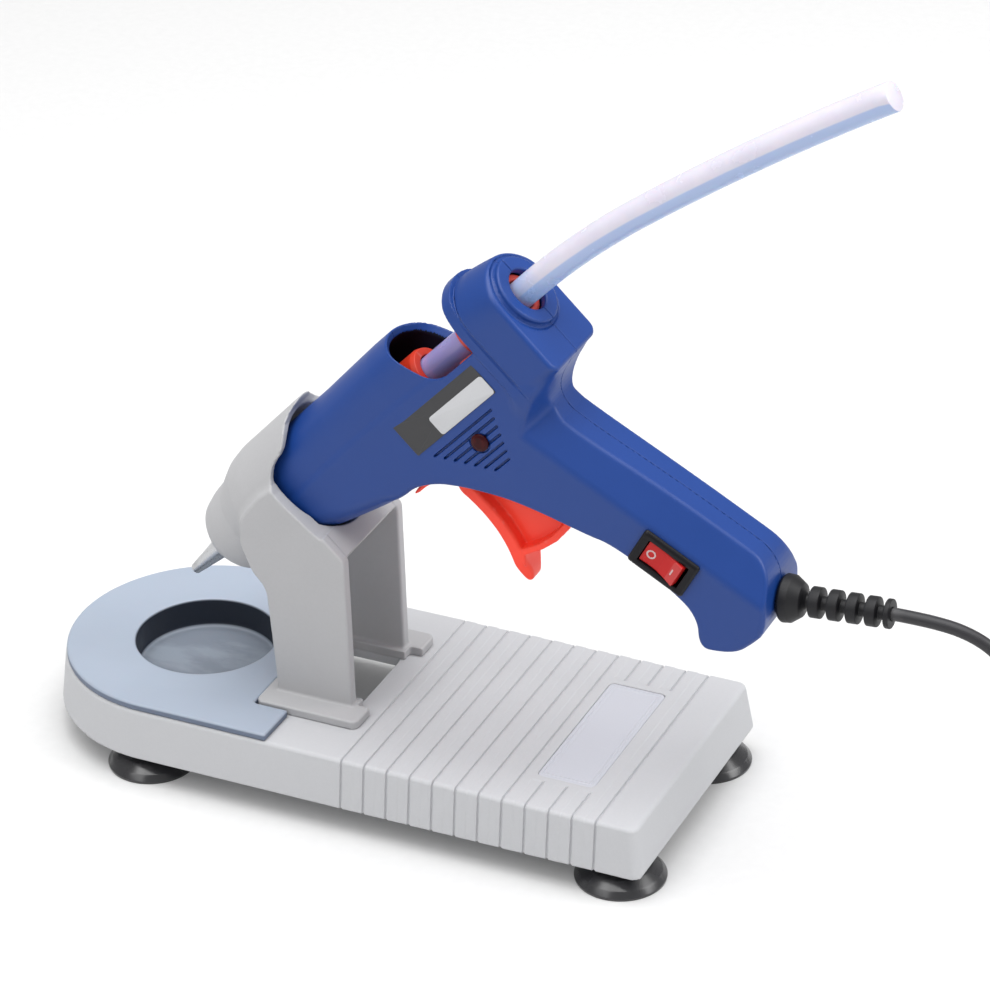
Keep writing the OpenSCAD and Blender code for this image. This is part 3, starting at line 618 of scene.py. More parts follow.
# ---------------------------------------------------------------- level sets
def rmax(a, b, r):
    """Where two solids meet (intersection), with an edge of radius r."""
    r = np.maximum(r, 1e-6)
    return np.minimum(-r, np.maximum(a, b)) + np.hypot(np.maximum(a + r, 0), np.maximum(b + r, 0))


def rmin(a, b, r):
    """Two solids together (union), with a hollow fillet of radius r."""
    return -rmax(-a, -b, r)


def smax(a, b, k):
    h = np.maximum(k - np.abs(a - b), 0) / k
    return np.maximum(a, b) + h * h * k / 4


def smin(a, b, k):
    return -smax(-a, -b, k)


def polygon(u, v, outline):
    """Signed distance to a closed outline, negative inside."""
    p = np.asarray(outline, float)
    best, inside = 1e9, False
    for a, b in zip(p, np.roll(p, -1, 0)):
        e = b - a
        wu, wv = u - a[0], v - a[1]
        t = np.clip((wu * e[0] + wv * e[1]) / (e @ e), 0, 1)
        best = np.minimum(best, (wu - t * e[0]) ** 2 + (wv - t * e[1]) ** 2)
        if a[1] != b[1]:
            inside = inside ^ (((a[1] > v) != (b[1] > v)) & (u < e[0] * (v - a[1]) / e[1] + a[0]))
    return np.where(inside, -1, 1) * np.sqrt(best)


def soft_outline(points, times=2):
    """A closed outline with its corners cut again and again into a curve."""
    p = np.array(points, float)
    for _ in range(times):
        n = np.roll(p, -1, 0)
        p = np.stack([0.75 * p + 0.25 * n, 0.25 * p + 0.75 * n], 1).reshape(-1, 2)
    return p


def rect(x, y, cx, cy, hx, hy, r):
    """Signed distance to a rectangle with corners of radius r."""
    qx, qy = np.abs(x - cx) - hx + r, np.abs(y - cy) - hy + r
    return np.hypot(np.maximum(qx, 0), np.maximum(qy, 0)) + np.minimum(np.maximum(qx, qy), 0) - r


def curve(knots, blur=2.0):
    """A smooth function through (place, value) knots."""
    k = np.array(knots, float)
    x = np.arange(k[0, 0] - 10, k[-1, 0] + 10, 0.1)
    y = np.interp(x, k[:, 0], k[:, 1])
    window = np.hanning(int(blur * 20) + 3)
    y = np.convolve(np.pad(y, len(window) // 2, "edge"), window / window.sum(), "valid")[: len(x)]
    return lambda at: np.interp(at, x, y)


def lines(*knots):
    """Grid lines: (place, step) pairs; each step holds until the next place."""
    out = []
    for (a, step), (b, _) in zip(knots, knots[1:]):
        out.append(np.linspace(a, b, max(1, int(round((b - a) / step))), endpoint=False))
    return np.concatenate(out + [[knots[-1][0]]])


def surface(field, xs, ys, zs, steps=2):
    """Points, quads and outward normals of the surface field = 0, negative inside."""
    whole = (len(xs), len(ys), len(zs))
    f = np.broadcast_to(field(xs[:, None, None], ys[None, :, None], zs[None, None, :]), whole)
    inside = f < 0
    corners = [(a, b, c) for a in (0, 1) for b in (0, 1) for c in (0, 1)]
    count = sum(inside[a : whole[0] - 1 + a, b : whole[1] - 1 + b, c : whole[2] - 1 + c].astype(np.int8)
                for a, b, c in corners)
    mixed = (count > 0) & (count < 8)
    cells = np.argwhere(mixed)
    index = np.full(mixed.shape, -1, np.int32)
    index[mixed] = np.arange(len(cells))
    grid = (xs, ys, zs)
    total, hits = np.zeros((len(cells), 3)), np.zeros(len(cells))
    for start in corners:
        for k in range(3):
            if start[k]:
                continue
            end = tuple(1 if n == k else s for n, s in enumerate(start))
            a, b = (tuple(cells[:, n] + c[n] for n in range(3)) for c in (start, end))
            fa, fb = f[a], f[b]
            cross = (fa < 0) != (fb < 0)
            t = np.where(cross, fa / np.where(cross, fa - fb, 1), 0)
            pa = np.stack([grid[n][a[n]] for n in range(3)], 1)
            pb = np.stack([grid[n][b[n]] for n in range(3)], 1)
            total += cross[:, None] * (pa + t[:, None] * (pb - pa))
            hits += cross
    points = total / hits[:, None]
    quads = []
    for k, (m, n) in enumerate(((1, 2), (2, 0), (0, 1))):
        low = inside.take(range(whole[k] - 1), k)
        high = inside.take(range(1, whole[k]), k)
        at = np.argwhere(low != high)
        at = at[(at[:, m] > 0) & (at[:, n] > 0) & (at[:, m] < whole[m] - 1) & (at[:, n] < whole[n] - 1)]
        around = []
        for dm, dn in ((1, 1), (0, 1), (0, 0), (1, 0)):
            c = at.copy()
            c[:, m] -= dm
            c[:, n] -= dn
            around.append(index[tuple(c.T)])
        q = np.stack(around, 1)
        forward = low[tuple(at.T)]
        quads.append(np.where(forward[:, None], q, q[:, ::-1]))
    quads = np.concatenate(quads)
    spacing = np.min([np.diff(g).min() for g in grid])

    def slope(p, step=2e-3):
        x, y, z = p.T
        here = field(x, y, z)
        g = np.stack([field(x + step, y, z) - here, field(x, y + step, z) - here,
                      field(x, y, z + step) - here], 1) / step
        return here, g

    for _ in range(steps):
        here, g = slope(points)
        size = np.maximum((g * g).sum(1), 0.05)
        move = -(here / size)[:, None] * g
        far = np.linalg.norm(move, axis=1)
        points = points + move * np.minimum(1, 0.6 * spacing / np.maximum(far, 1e-9))[:, None]
    _, g = slope(points, 0.02)
    normals = g / np.maximum(np.linalg.norm(g, axis=1), 1e-9)[:, None]
    return points, quads, normals


def moulded(name, field, xs, ys, zs, place, body, nodes, materials, inner=None):
    """A level-set piece; inner(u, y, v) true picks the second material."""
    points, quads, normals = surface(field, xs, ys, zs)
    which = None
    if inner:
        middle = points[quads].mean(1)
        which = inner(*middle.T).astype(int)
    return add_piece(name, points, quads, place, body, nodes, materials, which, normals)


# ---------------------------------------------------------------- gun housing
BARREL_R, BODY_HALF, WALL = 14.2, 12.0, 2.0
HOUSING = soft_outline([
    (40, -12.4), (44, -13.8), (52, -15.8), (60, -17.6), (67, -19.2), (73, -19.9),
    (79, -19.5), (84, -19.6), (90, -22.5), (94, -26), (97, -29), (103, -36),
    (108, -44), (112, -51.5), (115, -57), (117.3, -60.5), (119.5, -67),
    (121.5, -75), (122.6, -82), (122.8, -86.5), (121.5, -90.5), (118.8, -93.5),
    (118, -95.6), (118.6, -97.6), (124.5, -102.3), (130, -102.8), (135, -102.6),
    (142.6, -95.2), (144.9, -91.5), (145.8, -87), (144.4, -81.5),
    (138.8, -61.5), (129.4, -32), (129.2, -27.5), (130.5, -24), (134, -20.5),
    (138, -18.5), (138, 0), (40, 0),
])
TRIGGER_SLOT = [(76, -18), (84, -18), (92, -20.5), (100, -24), (118, -50), (115.5, -55.6),
                (76, -56), (74, -24)]
flare_r = curve([(30, 10), (40, 12.4), (44, 14), (52, 15.9), (60, 17.8), (73, 20.6), (88, 27), (92, 60),
                 (150, 200)])
barrel_cone = curve([(28, 9), (46, 13.1), (75, 13.4), (85, 13.8), (96, BARREL_R), (140, BARREL_R)], 1.5)
collar_drop = curve([(120, 0), (126.5, 0), (130, 0.4), (134, 0.75), (138, 1.4), (142, 2.2), (150, 4)], 1.5)
CREASE_U, CREASE_V, CREASE_LEAN = 120.0, -25.0, math.radians(15.3)
BEVEL_TURN = math.radians(56)
COLLAR_U, COLLAR_GROOVE, REAR_U, COLLAR_LOW, COLLAR_HALF = 126.5, 130.0, 142.0, -19.8, 13.2
WINDOW_U, WINDOW_V, WINDOW_LEAN = 112.6, -0.8, math.radians(27)
SCREW_SPOTS = [(70, -13), (134.5, -15), (124.5, -55), (126, -95.5)]
PIVOT = (98, -22)
LAMP = (109.3, -21)
RELIEF_SPOT, RELIEF_AXIS = (138.29, -99.37), (0.7402, -0.6724)


def housing_outside(u, y, v):
    a, r = np.abs(y), np.hypot(y, v)
    barrel = rmax((r - barrel_cone(u)) * 0.96, 28 - u, 1.2)
    barrel = np.maximum(smax(barrel, a - BODY_HALF, 3.0), u - 130)
    lower = rmax(polygon(u, v, HOUSING), a - BODY_HALF, 1.4)
    lower = smax(lower, (r - flare_r(u)) * 0.93, 1.6)
    t = (u - CREASE_U) * math.cos(CREASE_LEAN) + (v - CREASE_V) * math.sin(CREASE_LEAN)
    bevel = math.cos(BEVEL_TURN) * t + math.sin(BEVEL_TURN) * (a - BODY_HALF)
    lower = smax(lower, bevel - 7 * ease((v + 27) / 8), 0.8)
    body = smin(barrel, lower, 1.2)
    side = smax(np.hypot(y, np.maximum(v + collar_drop(u), 0)) - 13.5, a - COLLAR_HALF, 2.2)
    side = side + 0.3 * (1 - ease((u - 129.5) / 0.6))
    side = rmax(side, -(np.hypot(u - COLLAR_GROOVE, side) - 0.45), 0.15)
    side = rmax(side, COLLAR_LOW - v, 3.0)
    collar = rmax(rmax(side, u - REAR_U, 1.2), COLLAR_U - u, 0.6)
    whole = smin(body, collar, 0.6 + 4.6 * ease((-14 - v) / 8))
    ring = rmax(r - 9.6, u - (REAR_U + 1.4), 0.6)
    ring = np.maximum(ring, REAR_U - 2 - u)
    whole = rmax(whole, -(np.hypot(r - 10.3, u - REAR_U) - 0.55), 0.2)
    return rmin(whole, ring, 0.15)


def housing_field(side):
    """One half of the housing: side -1 is the left half, 1 the right."""
    def field(u, y, v):
        a, r = np.abs(y), np.hypot(y, v)
        outside = housing_outside(u, y, v)
        shell = np.maximum(outside, -(outside + WALL))
        within = outside + 0.4
        for rib_u, bore in ((41, 6.3), (87, 6.65)):
            rib = np.maximum(np.maximum(np.abs(u - rib_u) - 1, within), bore - r)
            shell = np.minimum(shell, rib)
        guide = np.maximum(np.maximum(np.abs(u - 128.5) - 1, within), np.abs(v - 1.7) - 8.5)
        shell = np.minimum(shell, np.maximum(guide, 6.3 - r))
        for su, sv in SCREW_SPOTS:
            from_axis = np.hypot(u - su, v - sv)
            boss = np.maximum(from_axis - 2.8, within)
            if side > 0:
                boss = np.minimum(boss, np.maximum(np.maximum(from_axis - 3.6, BODY_HALF - 3.6 - a), within))
            shell = rmin(shell, boss, 0.3)
            if side > 0:
                shell = np.maximum(shell, 1.5 - from_axis)
                shell = rmax(shell, -np.maximum(from_axis - 2.8, BODY_HALF - 2.2 - a), 0.25)
            else:
                shell = np.maximum(shell, -np.maximum(from_axis - 1.3, a - (BODY_HALF - 2)))
        from_pin = np.hypot(u - PIVOT[0], v - PIVOT[1])
        shell = np.minimum(shell, np.maximum(np.maximum(from_pin - 3.8, 5 - a), within))
        shell = np.maximum(shell, -np.maximum(from_pin - 2.02, a - 9.2))
        # Bores at the nose and at the rear, the lead's hole
        shell = rmax(shell, -np.maximum(r - 6.9, u - 34), 0.6)
        shell = rmax(shell, -np.maximum(r - 6.3 + 0.55 * ease((u - 141) / 0.4), 136 - u), 0.6)
        du, dv = u - RELIEF_SPOT[0], v - RELIEF_SPOT[1]
        s = du * RELIEF_AXIS[0] + dv * RELIEF_AXIS[1]
        off = np.hypot(y, du * RELIEF_AXIS[1] - dv * RELIEF_AXIS[0])
        shell = np.maximum(shell, -np.maximum(off - 4.05, np.abs(s) - 8))
        # Sight window with its sloping border
        front = (WINDOW_U - u) * math.cos(WINDOW_LEAN) - (v - WINDOW_V) * math.sin(WINDOW_LEAN)
        window = np.maximum(rmax(front, WINDOW_V - v, 2.2), u - COLLAR_U)
        sloping = (window - np.minimum(outside, 0) * -1 - 1.6) * 0.707
        shell = rmax(shell, -np.minimum(window, np.maximum(sloping, u - COLLAR_U)), 0.45)
        # Trigger's slot
        slot = rmax(polygon(u, v, TRIGGER_SLOT), a - 5.6, 0.5)
        shell = rmax(shell, -slot, 0.6)
        if side < 0:
            from_lamp = np.hypot(u - LAMP[0], v - LAMP[1])
            shell = np.maximum(shell, -np.maximum(from_lamp - 2.0, BODY_HALF - 3 - a))
            shell = rmax(shell, -np.maximum(from_lamp - 2.85, BODY_HALF - 0.5 - a), 0.12)
            for i in range(7):
                length, at_u, at_v = 23.5 - 2.9 * i, 95.5 + 1.9 * i, -16.5 - 2.05 * i
                groove = rect(u, v, at_u + length / 2, at_v, length / 2, 0.3, 0.28)
                shell = rmax(shell, -np.maximum(groove, BODY_HALF - 0.9 - a), 0.14)
            lean = math.radians(SWITCH_LEAN)
            sx = (u - SWITCH_U) * math.cos(lean) + (v - SWITCH_V) * math.sin(lean)
            sz = (v - SWITCH_V) * math.cos(lean) - (u - SWITCH_U) * math.sin(lean)
            hole = np.maximum(rect(sx, sz, 0, 0, 4.3, 6.8, 0.4), 4 - a)
            shell = np.maximum(shell, -hole)
        # The two halves meet in a fine groove
        return rmax(shell, 0.02 - side * y, 0.22)
    return field


def inside_housing(u, y, v):
    return housing_outside(u, y, v) < -1.72


us = lines((27.5, 0.66), (90, 0.48), (108, 0.42), (130.6, 0.56), (148.5, 0.5))
vs = lines((-104, 0.66), (-31, 0.29), (-16, 0.6), (-2, 0.36), (15.6, 0.5))
skin = lines((0, 0.22), (0.9, 0.7), (10.6, 0.35), (14.05, 0.35))
for name, side in (("left", -1), ("right", 1)):
    ys = side * skin if side > 0 else -skin[::-1]
    ys = np.sort(np.append(ys, -side * 0.2))
    # Inner faces take the second, almost black material: painted shade.
    moulded(f"{name}_housing_half", housing_field(side), us, ys, vs, GUN, "gun", f"{name}_shell",
            [M["housing"], M["inside"]], inside_housing)


# ---------------------------------------------------------------- trigger
FINGER_STRIP = soft_outline([
    (88.3, -26.5), (89.3, -33), (89.2, -40), (88, -46), (85.7, -51.5), (83.6, -55.8), (84, -57.4),
    (85.6, -57.6), (88, -55), (90.8, -49.5), (92.4, -44), (93, -38), (92.8, -31), (92.2, -25),
], 2)
TRIGGER_TONGUE = soft_outline([
    (88.3, -26.5), (85, -22.8), (82, -21.7), (77.2, -21.7), (76.8, -20.8),
    (83, -20.3), (88, -21.2), (92.2, -25),
], 1)
TRIGGER_WEB = [
    (90, -49), (92.8, -31), (92, -25), (94.5, -20.5), (97, -12.5), (97.1, -9.6), (98.9, -9.6), (99, -12.5),
    (101.5, -20), (104, -27), (108.5, -38), (112.3, -50.8), (106.5, -52.8), (101, -53.4), (96, -52.8),
    (90.5, -51.2),
]
TRIGGER_FLOOR = [
    (88, -53.4), (90.5, -51.2), (96, -52.8), (101, -53.4), (106.5, -52.8), (112.3, -50.8),
    (111.6, -48.9), (106.2, -50.9), (101, -51.4), (96.3, -50.9), (90.8, -49.3),
]


def trigger_field(u, y, v):
    a = np.abs(y)
    strip = rmax(polygon(u, v, FINGER_STRIP), a - 5 + 2.2 * ease((-51 - v) / 6), 0.9)
    tongue = rmax(polygon(u, v, TRIGGER_TONGUE), a - 4.6, 0.4)
    web = rmax(polygon(u, v, TRIGGER_WEB), a - 1.6, 0.3)
    floor = rmax(polygon(u, v, TRIGGER_FLOOR), a - 5, 0.5)
    from_pin = np.hypot(u - PIVOT[0], v - PIVOT[1])
    hub = rmax(from_pin - 4, a - 4.8, 0.3)
    tip = rmax(np.hypot(u - PIVOT[0], v - PIVOT[1] - 12.4) - 1.65, a - 1.6, 0.2)
    whole = smin(smin(strip, tongue, 0.8), floor, 0.8)
    whole = rmin(rmin(whole, web, 0.6), hub, 0.4)
    whole = np.minimum(whole, tip)
    return rmax(whole, 2.05 - from_pin, 0.2)


moulded("trigger_lever", trigger_field, lines((75.8, 0.33), (113.4, 1)), lines((-5.6, 0.33), (5.6, 1)),
        lines((-58.6, 0.33), (-7, 1)), GUN, "trigger", "trigger", M["trigger"])


# ---------------------------------------------------------------- feed carriage and sleeve
def carriage_field(u, y, v):
    a, r = np.abs(y), np.hypot(y, v)
    barrel = rmax(rmax(r - 6, u - 140.8, 0.7), 115.5 - u, 0.4)
    barrel = rmax(barrel, np.minimum(v + 3, 121 - u), 0.3)
    arm = np.maximum(np.maximum(rect(u, v, 107.25, -8.9, 13.75, 2.1, 0.3), a - 2), 93.5 - u)
    neck = np.maximum(rect(u, v, 118.25, -6.5, 2.75, 1.8, 0.2), a - 2)
    whole = rmin(rmin(barrel, neck, 0.3), arm, 0.3)
    whole = rmax(whole, (3.75 + 0.35) - r, 0.4)
    whole = np.maximum(whole, -np.maximum(rect(u, v, 98, -10, 1.8, 2.4, 0.1), a - 3))
    return np.maximum(whole, -np.maximum(rect(u, v, 124, -5.25, 2, 1.75, 0.1), a - 1.6))


moulded("feed_carriage_red", carriage_field, lines((93.1, 0.4), (141.2, 1)), lines((-6.3, 0.32), (6.3, 1)),
        lines((-11.4, 0.32), (6.3, 1)), GUN, "feed_carriage", "feed_carriage", M["carriage"])

AXIS = Place(GUN.origin, -GUN.axes[2], GUN.axes[1], GUN.axes[0])   # z runs along the barrel
points, faces = revolve(fillet([(4.1, 84), (6.22, 84.05), (6.22, 79), (6.6, 79), (6.6, 103.6), (6.1, 105),
                                (4.1, 105), (4.1, 84)], 0.3), 96)
add_piece("inlet_sleeve_red", points, faces, AXIS, "gun", "inlet_sleeve", M["sleeve"])

# ---------------------------------------------------------------- nozzle
points, faces = revolve(fillet([
    (0, 3.5), (0.75, 3.5), (0.75, 0), (1.45, 0), (3.1, 14), (5, 22), (5.6, 22), (5.6, 27), (3.9, 27),
    (3.9, 38), (2.2, 38), (2.2, 22), (0, 22),
], [0, 0, 0.15, 0.3, 2.0, 0.5, 0.4, 0.4, 0.2, 0.3, 0.2, 0.2, 0]), 96)
add_piece("nozzle_turned", points, faces, AXIS, "gun", "nozzle", M["nozzle"])

# ---------------------------------------------------------------- glue stick
STICK_R, STICK_START, BEND_U = 3.75, 58.0, 145.3
bends = [(218.0, 10.0), (726.0, 6.0)]
line, at, heading = [(STICK_START, 0.0)], np.array([BEND_U, 0.0]), 0.0
line += [(u, 0.0) for u in np.arange(STICK_START + 0.3, BEND_U, 3.0)]
for radius, angle in bends:
    n = 24
    for k in range(1, n + 1):
        step = math.radians(angle) * k / n
        start = math.radians(heading)
        line.append((at[0] + radius * (math.sin(start + step) - math.sin(start)),
                     at[1] + radius * (math.cos(start + step) - math.cos(start))))
    at = np.array(line[-1])
    heading += angle
line = np.array([(u, 0, v) for u, v in line])
run = run_of(line)
run = np.unique(np.concatenate([run, [0.12, 0.35, run[-1] - 0.35, run[-1] - 0.12]]))
fine = np.stack([np.interp(run, run_of(line), line[:, k]) for k in range(3)], 1)
edge = np.minimum(run, run[-1] - run)
radii = STICK_R - 0.35 * (1 - np.sqrt(np.clip(1 - (1 - np.clip(edge / 0.35, 0, 1)) ** 2, 0, 1)))
radii = radii + 0.02 * np.sin(run * 0.45) * ease(edge / 5)
points, faces = tube(fine, np.minimum(radii, STICK_R), 72)
add_piece("glue_stick_clear", points, faces, GUN, "glue_stick", "glue_stick", M["glue"])


# ---------------------------------------------------------------- cradle
SLOT = (82, 0, 8, 12.5)           # opening between the legs: middle x and y, half length, half width
FOOT = (80.2, 0, 14.8, 24, 2.2)   # foot plate: the same, and its corner radius
FOOT_T = 2.5
LEG_MIDDLE, LEG_HALF_T = 15.8, 1.6
def gun_uv(x, z):
    dx, dz = x - TIP_X, z - TIP_Z
    return dx * COS_P + dz * SIN_P, dz * COS_P - dx * SIN_P


cup_outside = curve([(4, 3.5), (14, 4.4), (17, 8), (20, 11), (25, 12.3), (30, 13), (33, 14.2), (37, 15.7),
                     (42, 16.4), (68, 16.8)], 1.6)
cup_inside = curve([(10, 3.4), (14, 3.4), (19, 6.5), (23, 8.6), (28, 9.6), (46, 14.7), (68, 14.7)], 1.0)
LEG_OUTLINE = fillet([(79, 0), (90.5, 0), (90, 46), (82.4, 53.2), (70.5, 63.6), (66, 60), (60, 52),
                      (59.5, 45), (62.8, 37), (66.6, 33), (68.5, 6), (68.5, 0), (79, 0)],
                     [0, 0.1, 3, 6, 2, 5, 6, 6, 10, 8, 12, 0.1, 0], 4)[:-1]
MOUTH = soft_outline([(52.4, -2.4), (52.3, 4.1), (53.8, 6.6), (56.3, 8.4), (60.5, 9.2), (62.6, 11.5),
                      (64, 14.8), (67.5, 16.4), (69, 18.5), (80, 18.5), (80, -14.6), (54, -14.6),
                      (53.2, -12)], 1)
SADDLE = [(43, -10), (54, -10), (54, -22), (52, -22.3), (43, -17)]


def cradle_field(x, y, z):
    a = np.abs(y)
    u, v = gun_uv(x, z)
    r = np.hypot(y, v)
    legs = rmax(polygon(x, z, LEG_OUTLINE), np.abs(a - LEG_MIDDLE) - LEG_HALF_T, 0.7)
    slope = np.where(u < 22, 0.66, 0.95)
    cup = rmax((r - cup_outside(u)) * slope, 14.3 - u, 0.5)
    cup = smax(cup, (cup_inside(u) - r) * 0.94, 0.5)
    cup = rmax(cup, u - 68.8, 0.5)
    whole = smin(cup, legs, 2.6)
    plate = rmax(rect(x, y, *FOOT), z - FOOT_T, 0.6)
    # The plate is open towards the rear, between the legs
    plate = rmax(plate, -rect(x, y, 88, 0, 14, SLOT[3], 0.8), 0.3)
    plate = rmax(plate, -rect(x, y, 96, 0, 4.6, LEG_MIDDLE, 0.8), 0.3)
    whole = rmin(whole, plate, 0.8)
    whole = rmin(whole, rmax(polygon(u, v, SADDLE), a - 14.6, 0.2), 0.3)
    whole = rmax(whole, -polygon(u, v, MOUTH), 0.5)
    room = np.maximum(np.maximum((r - flare_r(u) - 0.5) * 0.93, a - 12.5), np.maximum(v + 6, 42 - u))
    whole = rmax(whole, -room, 0.3)
    return np.maximum(whole, -z)


moulded("cradle_moulded", cradle_field, lines((38, 0.5), (95.6, 1)), lines((-24.6, 0.5), (24.6, 1)),
        lines((-0.6, 0.3), (3.6, 0.5), (85.4, 1)), STAND, "stand", "cradle_bracket",
        M["bracket"])


# ---------------------------------------------------------------- drip pad
DISH_R, PAD_T = 19.0, 2.0


def pad_field(x, y, z):
    from_dish = np.hypot(x - DISH_X, y)
    plan = np.maximum(np.hypot(np.minimum(x - DISH_X, 0), y) - 37.7, x - 75.5)
    notch = rmax(65.3 - x, np.abs(y) - 24.5, 1.0)
    plan = rmax(rmax(plan, -notch, 0.6), x - 75.5, 0.8)
    plate = rmax(plan, z - PAD_T, 0.7)
    plate = np.maximum(plate, -z)
    cup = rmax(rmax(from_dish - 20.4, -8 - z, 0.8), z - PAD_T, 0.5)
    whole = np.minimum(plate, cup)
    hollow = rmax(from_dish - DISH_R, -6.5 - z, 1.6)
    return rmax(whole, -hollow, 0.8)


moulded("drip_pad_silicone", pad_field, lines((-0.4, 0.42), (76.2, 1)), lines((-38.2, 0.42), (38.2, 1)),
        lines((-8.5, 0.45), (-0.6, 0.3), (2.6, 1)), STAND, "stand", "drip_pad",
        M["silicone"])

# ---------------------------------------------------------------- base
GROOVE_START, GROOVE_PITCH, GROOVES, GROOVE_W = 97.2, 6.5, 12, 0.8
PANEL = (154.5, 8.0, 24.0)        # middle, half length, half width
CUP_SPOTS = [(x, y) for x in (36, 172) for y in (-29, 29)]
CRADLE_SCREWS = [(x, y) for x in (69, 92) for y in (-19, 19)]


def grip_drop(x):
    """How far the grip lies under the smooth face: a groove and a lower half of each pitch."""
    phase = np.mod(x - GROOVE_START, GROOVE_PITCH)
    groove = 0.55 * (1 - ease((np.abs(phase - GROOVE_W / 2) - 0.1) / 0.3))
    lower = 0.1 * ease((phase - 3.4) / 0.5)
    run = (x > GROOVE_START - 0.6) & (x < GROOVE_START + GROOVE_PITCH * (GROOVES - 1) + 1.4)
    lower = lower * (x > GROOVE_START) * (x < GROOVE_START + GROOVE_PITCH * (GROOVES - 1))
    return np.maximum(groove * run, lower)


def base_field(x, y, z):
    lean = DRAFT * (-z) / BASE_H
    side = np.hypot(np.minimum(x - DISH_X, 0), y) - (BASE_HALF + lean)
    wall = rmax(side, x - (BASE_LEN + lean), 1.5)
    drop = grip_drop(x)
    by_panel = rect(x, y, PANEL[0], 0, PANEL[1] + 2, PANEL[2] + 2, 2)
    top_drop = drop * ease(by_panel / 0.5)
    whole = rmax(rmax(side + drop, x - (BASE_LEN + lean), 2.6), z + top_drop, 1.1)
    whole = rmax(whole, -BASE_H - z, 0.6)
    hollow = np.maximum(wall + 2.2, z + 2.5)
    shell = np.maximum(whole, -hollow)
    for cx, cy in CUP_SPOTS:
        from_cup = np.hypot(x - cx, y - cy)
        shell = np.minimum(shell, np.maximum(np.maximum(from_cup - 6, z + 1), -BASE_H - z))
        shell = np.maximum(shell, -np.maximum(from_cup - 3, z + 6))
    shell = rmax(shell, 20.6 - np.hypot(x - DISH_X, y), 0.3)
    shell = rmax(shell, -rect(x, y, *SLOT, 0.8), 0.2)
    for cx, cy in CRADLE_SCREWS:
        shell = np.maximum(shell, 1.5 - np.hypot(x - cx, y - cy))
    panel = np.maximum(rect(x, y, PANEL[0], 0, PANEL[1], PANEL[2], 1.6), -1 - z)
    return rmax(shell, -panel, 0.2)


one_pitch = np.array([-0.2, 0, 0.15, 0.3, 0.5, 0.65, 0.8, 1.0, 1.6, 2.4, 3.2, 3.5, 3.8, 4.1, 5.0, 5.9])
xs = [lines((-2.6, 0.7), (GROOVE_START - 0.9, 1))]
xs += [GROOVE_START + GROOVE_PITCH * i + one_pitch for i in range(GROOVES)]
xs += [lines((GROOVE_START + GROOVE_PITCH * GROOVES - 0.2, 0.8), (182.6, 1))]
edge_y = lines((22, 0.6), (26.6, 1.0), (35, 0.5), (40.6, 1))
middle_y = lines((-22, 1.6), (-11, 1.1), (11, 1.6), (22, 1))[1:-1]
ys = np.concatenate([-edge_y[::-1], middle_y, edge_y])
moulded("base_moulded", base_field, np.unique(np.round(np.concatenate(xs), 3)), ys,
        lines((-14.7, 0.6), (-12, 0.8), (-3.2, 0.4), (0.6, 1)), STAND, "stand", "base_shell",
        M["base"])


# ---------------------------------------------------------------- plates made of rings
def ring(hx, hy, r, z, cx=0.0, cy=0.0, per_corner=8):
    """Points of a rectangle with round corners."""
    r = min(r, hx - 1e-4, hy - 1e-4)
    out = []
    for k, (sx, sy) in enumerate(((1, 1), (-1, 1), (-1, -1), (1, -1))):
        for t in np.linspace(0, 90, per_corner):
            a = math.radians(90 * k + t)
            out.append((cx + sx * (hx - r) + r * math.cos(a), cy + sy * (hy - r) + r * math.sin(a), z))
    return np.array(out)


# The name plate, with a double border
hx, hy = PANEL[1] - 0.1, PANEL[2] - 0.1
plate = [ring(hx - i, hy - i, max(1.5 - i, 0.3), z, PANEL[0]) for i, z in (
    (0.1, -1), (0, -0.9), (0, -0.32), (0.1, -0.22), (0.9, -0.2), (1.0, -0.3), (1.25, -0.3), (1.35, -0.2),
    (1.8, -0.2), (1.9, -0.28), (2.05, -0.28), (2.15, -0.2), (2.25, -0.2), (3.2, -0.2))]
points, faces = stack(plate)
add_piece("name_plate_film", points, faces, STAND, "stand", "name_plate", M["panel"])

SIDE = Place(GUN.at((0, -BODY_HALF, 0)), GUN.axes[0], GUN.axes[2], -GUN.axes[1])  # left face, z outwards
dark = stack([ring(15.85 - i, 5.05 - i, 0.4, z, 107.85, -8.75) for i, z in ((0, 0), (0, 0.13), (0.06, 0.19))])
white = stack([ring(10.6 - i, 2.8 - i, 0.9, z, 113.0, -10.9) for i, z in ((0, 0.1), (0, 0.22), (0.05, 0.25))])
points, faces, numbers = joined([dark, white])
add_piece("rating_label_film", points, faces, SIDE, "gun", "rating_label", [M["label"], M["print"]],
          numbers)

# ---------------------------------------------------------------- lamp lens
points, faces = revolve(fillet([(0, -2.5), (1.95, -2.5), (1.95, -0.4), (2.4, -0.3), (2.4, 0.25), (1.5, 0.55),
                                (0, 0.6)], [0, 0.1, 0.05, 0.1, 0.3, 1.0, 0]), 64)
LENS = Place(SIDE.at((LAMP[0], LAMP[1], 0)), *SIDE.axes)
add_piece("indicator_lens_red", points, faces, LENS, "gun", "indicator_lens", M["lens"])

